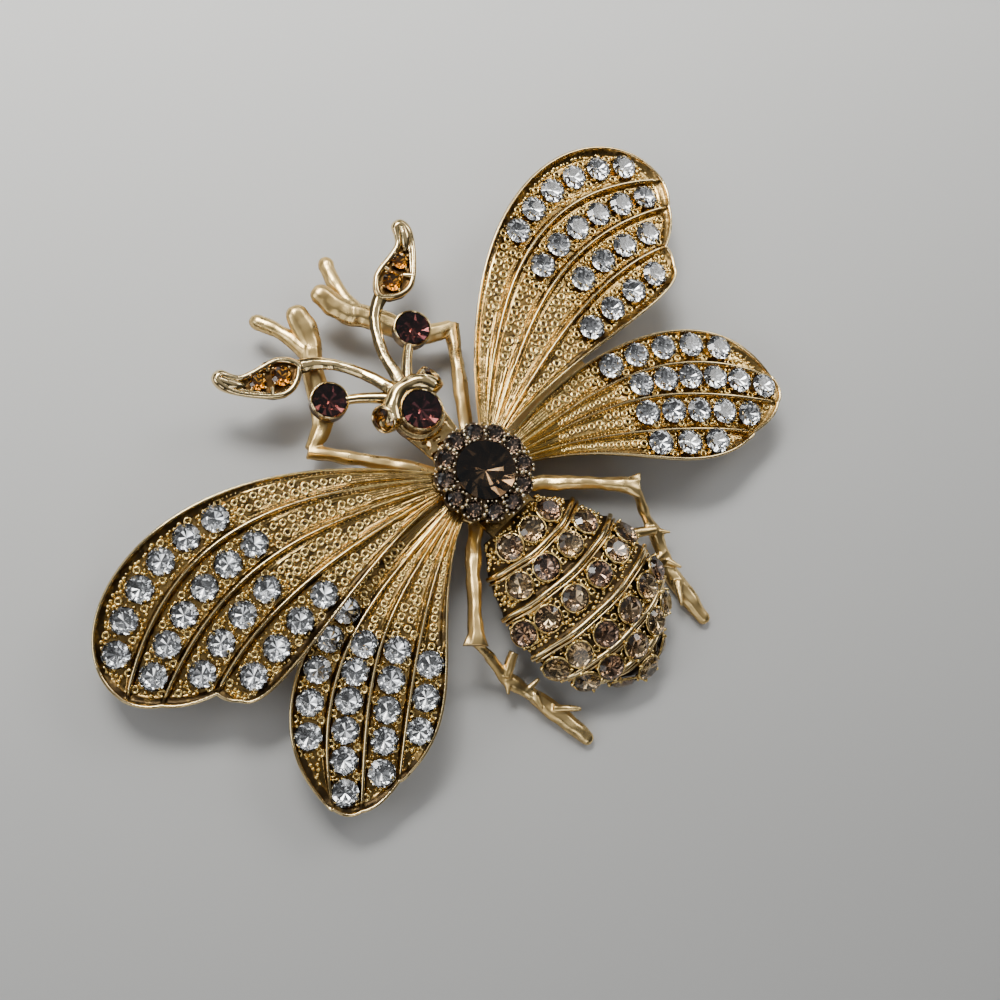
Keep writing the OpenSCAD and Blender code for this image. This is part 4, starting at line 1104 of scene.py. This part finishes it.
def abdomen_tab():
    """The tab that reaches from the dome to the rivet."""
    tab = added(bpy.ops.mesh.primitive_cube_add, size=1)
    tab.scale = Vector((4.4, 3.2, TAB_WALL)) * MM
    tab.location = Vector((0, -3.3, TAB_TOP - TAB_WALL / 2)) * MM
    join([tab])
    # painted shade over the whole tab
    return shaded(tab, [0.6] * len(tab.data.vertices))


stone_spots = [(a, math.radians((i - (count - 1) / 2) * angle))
               for a, count, angle in STONE_ROWS for i in range(count)]
abdomen = join([abdomen_shell(), round_plate(TAB_TOP, TAB_WALL, TAB_ROUND), abdomen_tab()])
finished(abdomen, "abdomen_casting", [antique_gold], ["abdomen"])
places = [stand(*dome_seat(a, q, STONE_GAP + STONE_DEPTH * ABDOMEN_STONE), ABDOMEN_STONE)
          @ Matrix.Rotation(0.7 * i, 4, "Z") for i, (a, q) in enumerate(stone_spots)]
set_stones("abdomen_gems", small_gem, places, "brown", ["abdomen_stones"])
print("abdomen", len(abdomen.data.polygons), "faces,", len(stone_spots), "stones")


# %% [markdown]
# The five ridges are polished on top. A broad bar and a thin one run side by side over each of them.

# %% Bands of the abdomen
bars = []
q = np.linspace(-DOME_EDGE, DOME_EDGE, 48)
for at in BAND_AT:
    for share, rise, radius in ((at - 0.1 * BAND_HALF, 0.26, 0.22), (at + 0.95 * BAND_HALF, 0.20, 0.11)):
        wave = 0.03 * np.sin(q * 9 + 20 * at)
        bars.append(rod(np.column_stack([dome(share + wave / ABDOMEN_LENGTH, q, rise), radius + wave * 0.6])))
finished(join(bars), "abdomen_bands", [pale_gold])
print("abdomen has", len(bars), "polished bars")

# %% [markdown]
# Thin rims and beads hold the stones of the abdomen: a ring lies round each stone and beads stand in the
# corners.

# %% Beads of the abdomen
ABDOMEN_CLEAR, TUBES_CLEAR, CLAW_OUT = 1.08, 1.22, 1.12


def ring_spot(radius, angle, z, size, tall=1.0):
    """A place on a ring round the axis."""
    return Matrix.Translation((radius * math.cos(angle), radius * math.sin(angle), z)) \
        @ Matrix.Diagonal((size, size, size * tall, 1))


thin_ring = ring_model(radius=0.52, wire=0.05, steps=20)
rings, beads, tubes = [], [], []
middles = [Vector(dome(a, q)) for a, q in stone_spots]
by_stones = [(middle, TUBES_CLEAR) for middle in middles]
for row, count, angle in STONE_ROWS:
    for i in range(count + 1):
        for along in (-0.45, 0.45):
            a, q = row + along / ABDOMEN_LENGTH, math.radians((i - count / 2) * angle)
            seat = dome_seat(a, q, 0.12)
            if a < 0.99 and abs(q) < DOME_EDGE and clear_of(seat[0], by_stones):
                tubes.append(stand(*seat))
taken = [(middle, ABDOMEN_CLEAR) for middle in middles]
taken += [(place.translation, TUBE_CLEAR) for place in tubes]
for a in np.arange(0.02, 0.99, 0.36 / ABDOMEN_LENGTH):
    around = np.linalg.norm(dome(a, 0.3) - dome(a, 0.2)) * 10
    for q in np.arange(-DOME_EDGE + 0.05, DOME_EDGE, GRAIN_STEP / around):
        nudge = chance.uniform(-0.15, 0.15) / ABDOMEN_LENGTH
        seat = dome_seat(a + nudge, q + chance.uniform(-0.15, 0.15) / around, 0.05)
        if min(abs(a + nudge - band) for band in BAND_AT) > 1.25 * BAND_HALF and clear_of(seat[0], taken):
            beads.append(stand(*seat, chance.uniform(0.08, 0.21), 0.9))
for a, q in stone_spots:
    here = stand(*dome_seat(a, q, 0.30))
    rings.append(here @ ring_spot(0, 0, 0, ABDOMEN_STONE))
    for corner in (35, 145, 215, 325):
        beads.append(here @ ring_spot(CLAW_OUT, math.radians(corner), -0.02, 0.16, 1.875))
trim = join([copies(thin_ring, rings), copies(small_ring, tubes), copies(bead, beads)])
finished(trim, "abdomen_beads", [antique_gold])
print("abdomen", len(rings), "rings and", len(beads), "beads")

# %% [markdown]
# The setting of the thorax keeps its solid form in a darker gold, since it is deeply antiqued. Bright
# beads cover it: claws between the small stones, and a ring of grains round the large one.

# %% Thorax setting
HALO_RING, HALO_STONE, HALO_Z = 3.02, 1.28, 6.56
THORAX_STONE, THORAX_Z = 4.5, 7.007
HALO_STEP = math.tau / 12
# radius, turn, height and size of the claws between two small stones
CLAWS = ((2.74, 0, 6.78, 0.16), (3.06, 0.03, 6.72, 0.13), (3.36, -0.02, 6.64, 0.16))
# number, radius, height and limits of the size of the grains inside and outside the small stones
GRAIN_RINGS = ((38, 2.40, 6.80, 0.075, 0.14), (54, 3.72, 6.42, 0.07, 0.14))


def node_copy(name):
    """A merged copy of a solid's mesh that can be reworked."""
    clear_selection()
    piece = twin(nodes[name])
    piece.select_set(True)
    bpy.context.view_layer.objects.active = piece
    edit()
    bpy.ops.mesh.remove_doubles(threshold=MERGE)
    return done()


crown = smooth_by(node_copy("thorax_crown"), 35)
finished(crown, "thorax_setting", [dark_gold], ["thorax_crown"])
around = []
for i in range(12):
    between = (i + 0.5) * HALO_STEP
    for radius, turn, z, size in CLAWS:
        around.append(ring_spot(radius, between + turn, z, size * chance.uniform(0.9, 1.3), 1.3))
for count, radius, z, low, high in GRAIN_RINGS:
    for i in range(count):
        size = chance.uniform(low, high)
        out = radius + chance.uniform(-0.07, 0.07)
        turn = (i + chance.uniform(-0.3, 0.3)) / count * math.tau
        around.append(ring_spot(out, turn, z + chance.uniform(-0.08, 0.08), size, 1.2))
finished(copies(bead, around), "thorax_claws", [bead_gold])
places = [ring_spot(HALO_RING, i * HALO_STEP, HALO_Z, HALO_STONE) @ Matrix.Rotation(i * HALO_STEP, 4, "Z")
          for i in range(12)]
set_stones("halo_gems", small_gem, places, "umber", ["halo_stones"])
set_stones("thorax_gem", large_gem, [ring_spot(0, 0, THORAX_Z, THORAX_STONE)], "smoke",
           ["thorax_stone"])
print("setting with", len(around), "beads")


# %% [markdown]
# Head and legs are smooth castings. A merged copy of each solid is covered by a fine skin with the voxel
# remesher, which fillets every joint, and then relaxed, as wax is smoothed before casting.

# %% Head and legs
NECK_TO, LEAVES_FROM, SWELL_FROM, SWELL_TO = 4.9, 13.5, 11.0, 14.0


def cast(name, cell, rounds):
    """A smooth skin over a solid, from cells of this size in mm."""
    piece = node_copy(name)
    piece.data.remesh_voxel_size = cell * MM
    bpy.ops.object.voxel_remesh()
    relax = piece.modifiers.new("relax", "SMOOTH")
    relax.iterations = rounds
    relax.factor = 0.5
    bpy.ops.object.modifier_apply(modifier=relax.name)
    bpy.ops.object.shade_smooth()
    return piece


def lumpy(piece, size, height, swell=0.0):
    """Moves the points out by lumps of this size and height in mm, and by a swell in front."""
    away = [normal.vector.copy() for normal in piece.data.vertex_normals]
    for vertex, normal in zip(piece.data.vertices, away):
        more = swell * float(smooth(vertex.co.y / MM, SWELL_FROM, SWELL_TO))
        vertex.co += normal * (noise.noise(vertex.co / (size * MM)) * height + more) * MM
    return piece


def painted_side_shade(piece, most):
    """A painted shade for each point, deepest where the surface looks away from the sky."""
    up = np.array([normal.vector[2] for normal in piece.data.vertex_normals])
    return most * (1 - smooth(up, 0.15, 0.80))


legs = lumpy(cast("legs", cell=0.10, rounds=4), size=1.2, height=0.13, swell=0.20)
# painted shade on the sides of the legs
shaded(legs, painted_side_shade(legs, 0.40))
finished(legs, "leg_casting", [bright_gold], ["legs"])
head = lumpy(cast("head", cell=0.075, rounds=3), size=1.2, height=0.05)
spots = np.array([vertex.co for vertex in head.data.vertices]) / MM
neck = spots[:, 1] < NECK_TO
for i in np.nonzero(neck)[0]:
    head.data.vertices[i].co.z += noise.noise(Vector(spots[i]) / 0.6) * 0.09 * MM
# painted shade of the head: deep in the leaf hollows, the low places and on sides that look away from the
# sky, lighter on the neck
leaf_low, head_low = 1 - smooth(spots[:, 2], 4.35, 4.60), 1 - smooth(spots[:, 2], 4.0, 4.5)
head_painted_shade = np.where(spots[:, 1] > LEAVES_FROM, leaf_low, 0.85 * head_low)
shaded(head, np.where(neck, 0.35, np.maximum(head_painted_shade, painted_side_shade(head, 0.75))))
print("legs", len(legs.data.polygons), "faces, head", len(head.data.polygons))

# %% [markdown]
# Each round stone of the head sits in a bezel, a thin rolled rim. The rims are spun from a small section
# and stood on their cups.

# %% Bezels and head stones
HEAD_Y, HEAD_TOP, HEAD_STONE = 6.6, 5.85, 2.9
EYE_PLACE, EYE_WAY, EYE_STONE = (2.6, 7.95, 5.35), (0.80, 0.05, 0.60), 1.7
CUP_PLACE, CUP_STONE = (4.35, 11.76, 4.65), 2.5
OVER_RIM = 0.04


def bezel(size, at, way, wall, drop=0.5):
    """A rolled rim round a stone of this size."""
    inner = size / 2 + STONE_GAP
    section = [(inner, -drop), (inner + wall, -drop), (inner + wall * 1.05, -wall * 0.4),
               (inner + wall * 0.75, 0.03), (inner + wall * 0.35, 0.06), (inner - 0.01, 0.01)]
    rim = spun(section, 48)
    rim.matrix_world = Matrix.Scale(MM, 4) @ stand(at, way, (0, 1, 0)) @ Matrix.Scale(1 / MM, 4)
    return join([rim])


def mirrored(at, side):
    return Vector((at[0] * side, at[1], at[2]))


rims = [bezel(HEAD_STONE, (0, HEAD_Y, HEAD_TOP), (0, 0, 1), wall=0.13)]
set_stones("head_gem", round_gem, [ring_spot(HEAD_Y, math.pi / 2, HEAD_TOP + OVER_RIM, HEAD_STONE)],
           "plum", ["head_stone"])
for side, word in SIDES:
    eye_at, eye_way = mirrored(EYE_PLACE, side), mirrored(EYE_WAY, side).normalized()
    rims.append(bezel(EYE_STONE, eye_at, eye_way, wall=0.18, drop=0.6))
    eye = stand(eye_at + eye_way * OVER_RIM, eye_way, (0, 1, 0), EYE_STONE)
    set_stones("eye_gem_" + word, small_gem, [eye], "honey", ["eye_stone_" + word])
    cup_at = mirrored(CUP_PLACE, side)
    rims.append(bezel(CUP_STONE, cup_at, (0, 0, 1), wall=0.12))
    cup = stand(cup_at + Vector((0, 0, OVER_RIM)), (0, 0, 1), (1, 0, 0), CUP_STONE)
    set_stones("antenna_gem_" + word, round_gem, [cup], "plum", ["antenna_stone_" + word])
print("head with", len(rims), "bezels")

# %% [markdown]
# The leaves at the ends of the antennae are given as shares of their length and width, so that one
# function can place every point of both of them.

# %% Leaf form
# shares of the leaf's length and width
LEAF_OUTLINE = [
    (0.020, 0.00), (0.060, -0.30), (0.140, -0.56), (0.250, -0.71), (0.390, -0.73), (0.530, -0.67),
    (0.680, -0.56), (0.820, -0.43), (0.930, -0.23), (0.985, -0.02), (0.940, 0.08), (0.850, 0.00),
    (0.740, -0.07), (0.600, 0.03), (0.470, 0.16), (0.350, 0.25), (0.240, 0.28), (0.120, 0.21),
    (0.050, 0.11), (0.020, 0.00)]
# two ends of each tongue, then places along the tip with their radius
LEAF_TONGUES = ((0.40, -0.66, 0.385, -0.42), (0.41, 0.22, 0.395, -0.02))
LEAF_TIP = ((0.66, -0.30, 0.10), (0.74, -0.27, 0.36), (0.83, -0.20, 0.46), (0.92, -0.07, 0.44))
LEAF_ROOT, LEAF_TURN, LEAF_TOP, LEAF_HOLLOW = (3.95, 15.0), math.radians(32), 4.75, 0.4
LEAF_LENGTH, LEAF_WIDTH, LEAF_MIDDLE = 6.8, 3.0, (0.42, -0.22)


def leaf_point(along, over, side, inset=0.0):
    """x and y of a point of the leaf, given as shares of its length and width."""
    middle = np.array((LEAF_MIDDLE[0] * LEAF_LENGTH, LEAF_MIDDLE[1] * LEAF_WIDTH))
    way = np.array((along * LEAF_LENGTH, over * LEAF_WIDTH)) - middle
    x, y = middle + way * (1 - inset / np.linalg.norm(way))
    c, s = math.cos(LEAF_TURN), math.sin(LEAF_TURN)
    return (LEAF_ROOT[0] + c * x - s * y) * side, LEAF_ROOT[1] + s * x + c * y


print("leaf", LEAF_LENGTH, "mm long, drawn with", len(LEAF_OUTLINE), "points")

# %% [markdown]
# A thick polished brow hugs the head stone and runs into the eye cups. Each leaf has a round rim that
# swells at its tip, and two small tongues reach in between its stones. All of them are round bars.

# %% Brow and leaf rims
# x, y, z and radius in mm
SHORT_STEM = ((0.55, 8.50, 4.90, 0.52), (1.60, 9.60, 4.68, 0.45), (2.60, 10.50, 4.45, 0.40),
              (3.45, 11.10, 4.25, 0.38))
BROW_OUT, BROW_Z = 2.16, 5.48
EYE_CUP, EYE_CUP_RADIUS = (2.15, 7.75, 4.85), 0.95


def smooth_line(points, steps=5):
    """A smooth run through rows of numbers, with steps from one row to the next."""
    points = np.array(points, float)
    last = len(points) - 1
    rows = []
    for i in range(last):
        a, b, c, d = (points[min(max(i + j, 0), last)] for j in (-1, 0, 1, 2))
        for t in np.arange(steps) / steps:
            rows.append(b + 0.5 * t * (c - a + t * (2 * a - 5 * b + 4 * c - d + t * (3 * b - a - 3 * c + d))))
    return np.array(rows + [points[-1]])


arc = [math.radians(angle) for angle in range(18, 163, 12)]
brow = [(BROW_OUT * math.cos(a), HEAD_Y + BROW_OUT * math.sin(a), BROW_Z, 0.64 + 0.14 * abs(math.cos(a)))
        for a in arc]
parts = [lumpy(rod(smooth_line(brow), around=20), size=0.8, height=0.07)]
for side, _ in SIDES:
    parts.append(added(bpy.ops.mesh.primitive_uv_sphere_add, segments=24, ring_count=16,
                       radius=EYE_CUP_RADIUS * MM, location=mirrored(EYE_CUP, side) * MM))
    bpy.ops.object.shade_smooth()
    parts.append(rod(smooth_line([(x * side, y, z, r) for x, y, z, r in SHORT_STEM])))
    rows = [(*leaf_point(a, o, side, 0.22), LEAF_TOP - 0.16, 0.25 + 0.20 * float(smooth(a, 0.80, 0.97)))
            for a, o in LEAF_OUTLINE]
    parts.append(rod(smooth_line(rows), closed=True))
    for a, o, b, p in LEAF_TONGUES:
        tongue = [(*leaf_point(a, o, side), LEAF_TOP - 0.14, 0.26),
                  (*leaf_point(b, p, side), LEAF_TOP - 0.22, 0.15)]
        parts.append(rod(smooth_line(tongue)))
    tip = [(*leaf_point(a, o, side), LEAF_TOP - 0.14, r) for a, o, r in LEAF_TIP]
    parts.append(rod(smooth_line(tip)))
head = join([head] + rims + parts)
finished(head, "head_casting", [pale_gold], ["head"])
print("brow, leaf rims and", len(parts), "parts")

# %% [markdown]
# Two amber stones lie in the hollow of each leaf, held by small beads.

# %% Leaf stones
LEAF_SPOTS = (("inner", 0.262, -0.19, 1.55), ("outer", 0.530, -0.25, 1.30))
leaf_beads = []
for side, word in SIDES:
    for place, along, over, size in LEAF_SPOTS:
        at = Vector((*leaf_point(along, over, side), LEAF_TOP - LEAF_HOLLOW + STONE_GAP + STONE_DEPTH * size))
        set_stones(f"leaf_gem_{place}_{word}", small_gem, [stand(at, (0, 0, 1), (1, 0, 0), size)],
                   "amber", [f"leaf_stone_{place}_{word}"])
        for corner in (50, 140, 230, 320):
            turn = LEAF_TURN + math.radians(corner)
            spot = at + Vector((math.cos(turn) * side, math.sin(turn), 0)) * (size / 2 + 0.05)
            leaf_beads.append(Matrix.Translation(spot) @ Matrix.Diagonal((0.13, 0.13, 0.22, 1)))
finished(copies(bead, leaf_beads), "leaf_beads", [pale_gold])
print("leaves with", len(leaf_beads), "beads")

# %% [markdown]
# The pin at the back stays as its solid is: one plain bent wire on a bar.

# %% Pin
pin = smooth_by(node_copy("brooch_pin"), 35)
finished(pin, "pin_casting", [bright_gold], ["brooch_pin"])

# %% [markdown]
# The models of stones, rings and beads have been copied to their places and aren't part of the brooch.

# %% Put the models away
for model in (small_gem, round_gem, large_gem, ring, small_ring, bead, dot, thin_ring):
    bpy.data.objects.remove(model)

# %% [markdown]
# The table is plain and pale.

# %% Floor
floor = added(bpy.ops.mesh.primitive_plane_add, size=2.4)
floor.name = "floor"
floor.data.materials.append(Finish("table_top", Base_Color=(0.56, 0.56, 0.55, 1), Roughness=0.85).material)
